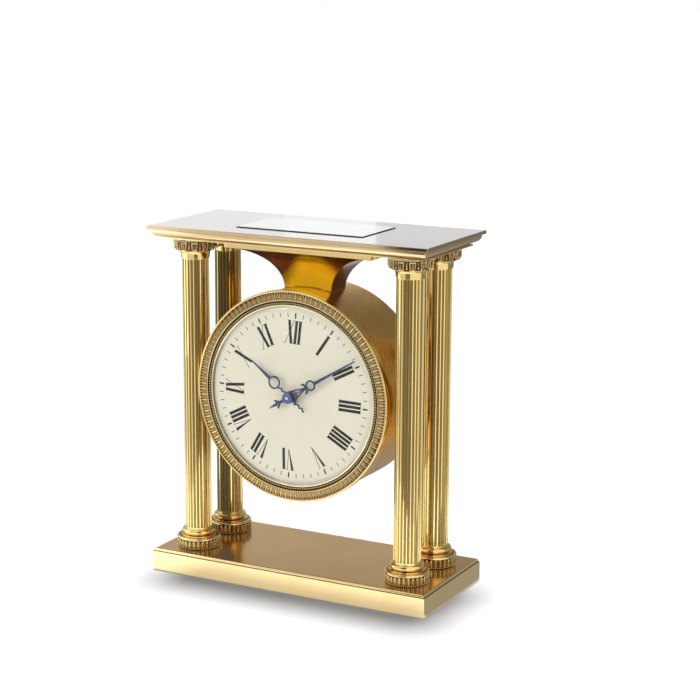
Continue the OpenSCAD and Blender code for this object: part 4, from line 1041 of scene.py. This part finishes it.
studio = {"floorColour": (0.86, 0.86, 0.86), "floorHalf": 9, "floorSeen": 0.065, "floorMirrored": 0.56,
          "skyLevel": 0.13, "cardAt": 0.24, "cardSteps": 12,
          "overhead": {"from": (-0.05, 0.105, 1.0), "width": 10, "power": 3.1},
          "front": {"from": (-0.35, -1.0, 0.30), "width": 45, "power": 0.9}}
cards = {  # soft boxes and grey walls that only metal and glass see; the values are those of card() below
    "farLeftBox": (-100, -50, (0.0, 0.36), (1.08, 1.08)),
    "leftBox": (-50, 3, (0.0, 0.36), (0.86, 0.76), (0.06, 0.20)),
    "lensGap": (3, 36, (0.0, 0.60), (0.22, 0.02), (0.19, 0.22)),
    "rightBox": (36, 102, (0.0, 0.36), (1.02, 1.02)),
    "rightWall": (102, 187, (0.0, 0.60), (0.36, 0.20), (0.06, 0.20)),
    "backWall": (187, 260, (0.0, 0.60), (0.55, 0.26), (0.06, 0.22)),
    "backBand": (176, 198, (0.214, 0.272), (0.74, 0.74), (0.0, 0.3), 0.236),
    "backTop": (198, 214, (0.231, 0.38), (0.98, 0.98), (0.0, 0.3), 0.236),
    "backLeftTop": (214, 252, (0.214, 0.38), (0.88, 0.88), (0.0, 0.3), 0.236),
    "glare": (-78, -53, (0.10, 0.19), (2.2, 2.2), (0.0, 0.3), 0.236),
}
sheets = {  # flat ones: two corners; the flag shades the back left column, the patch lies behind the base
    "flag": {"from": (-0.094, 0.002, 0.022), "to": (-0.060, 0.002, 0.192), "level": 0.12},
    "shadedFloor": {"from": (-0.35, -0.036, 0.0006), "to": (0.30, 0.60, 0.0006), "level": 0.36},
}


def seenRays(tree, direct, mirrored):
    # direct for what the camera sees, mirrored for what metal and glass show it, 0 for light on dull ones
    path = tree.nodes.new("ShaderNodeLightPath")
    shown = calc(tree, "MAXIMUM", path.outputs["Is Glossy Ray"], path.outputs["Is Transmission Ray"])
    beforeDull = calc(tree, "LESS_THAN", path.outputs["Diffuse Depth"], 0.5)
    shown = calc(tree, "MULTIPLY", calc(tree, "MULTIPLY", shown, beforeDull), mirrored)
    return calc(tree, "ADD", calc(tree, "MULTIPLY", path.outputs["Is Camera Ray"], direct), shown)


def staged(name, verts, faces, material):
    mesh = bpy.data.meshes.new(name)
    mesh.from_pydata(verts, [], faces)
    mesh.materials.append(material)
    obj = bpy.data.objects.new(name, mesh)
    scene.collection.objects.link(obj)
    return obj


def onlyMirrored(name, verts, faces, levels, ramp=(0.0, 0.3)):
    # a glowing sheet that shows in reflections alone
    material = bpy.data.materials.new(name)
    material.use_nodes = True
    tree = material.node_tree
    kinds = ("Emission", "TexCoord", "SeparateXYZ")
    glow, coord, split = (tree.nodes.new("ShaderNode" + kind) for kind in kinds)
    tree.links.new(coord.outputs["Object"], split.inputs[0])
    level = calc(tree, "SUBTRACT", spread(tree, split.outputs["Z"], *levels, *ramp), studio["skyLevel"])
    level = calc(tree, "MULTIPLY", level, seenRays(tree, 0, 1))
    tree.links.new(calc(tree, "ADD", level, studio["skyLevel"]), glow.inputs["Strength"])
    tree.links.new(glow.outputs[0], tree.nodes["Material Output"].inputs["Surface"])
    obj = staged(name, verts, faces, material)
    obj.visible_camera = obj.visible_diffuse = obj.visible_shadow = obj.visible_transmission = False


def card(name, start, end, span, levels, ramp=(0.0, 0.3), at=studio["cardAt"]):
    # start and end are degrees from the front towards the right; the level changes over the ramp's heights
    steps, verts = studio["cardSteps"], []
    for i in range(steps + 1):
        a = math.radians(start + (end - start) * i / steps)
        verts += [(at * math.sin(a), -at * math.cos(a), z) for z in span]
    faces = [(2 * i, 2 * i + 1, 2 * i + 3, 2 * i + 2) for i in range(steps)]
    onlyMirrored(name, verts, faces, levels, ramp)


def cornersOf(x0, y0, z0, x1, y1, z1):
    return [(x0, y0, z0), (x1, y0, z0), (x1, y1, z1), (x0, y1, z1)]


def makeStudio():
    world = bpy.data.worlds.new("studio")
    scene.world = world
    world.use_nodes = True
    tree = world.node_tree
    back = tree.nodes["Background"]
    setInputs(back, {"Color": (1, 1, 1, 1)})
    rest = 1 - studio["skyLevel"]
    level = calc(tree, "ADD", seenRays(tree, rest, rest), studio["skyLevel"])
    tree.links.new(level, back.inputs["Strength"])

    wide = studio["floorHalf"]
    material, tree, shader = shaderOf("pale floor")
    setInputs(shader, {"Base Color": (*studio["floorColour"], 1), "Roughness": 0.9,
                       "Specular IOR Level": 0, "Emission Color": (1, 1, 1, 1)})
    glow = seenRays(tree, studio["floorSeen"], studio["floorMirrored"])
    tree.links.new(glow, shader.inputs["Emission Strength"])
    staged("floor", cornersOf(-wide, -wide, 0, wide, wide, 0), [(0, 1, 2, 3)], material)

    for name in ("overhead", "front"):
        lamp = bpy.data.objects.new(name, bpy.data.lights.new(name, "SUN"))
        lamp.data.angle, lamp.data.energy = math.radians(studio[name]["width"]), studio[name]["power"]
        lamp.rotation_euler = Vector(studio[name]["from"]).to_track_quat("Z", "Y").to_euler()
        lamp.visible_glossy = False
        scene.collection.objects.link(lamp)
    for name, values in cards.items():
        card(name, *values)
    for name, sheet in sheets.items():
        corners = cornersOf(*sheet["from"], *sheet["to"])
        onlyMirrored(name, corners, [(0, 1, 2, 3)], (sheet["level"], sheet["level"]))


makeStudio()
scene.view_settings.view_transform = "Standard"
print("studio ready")
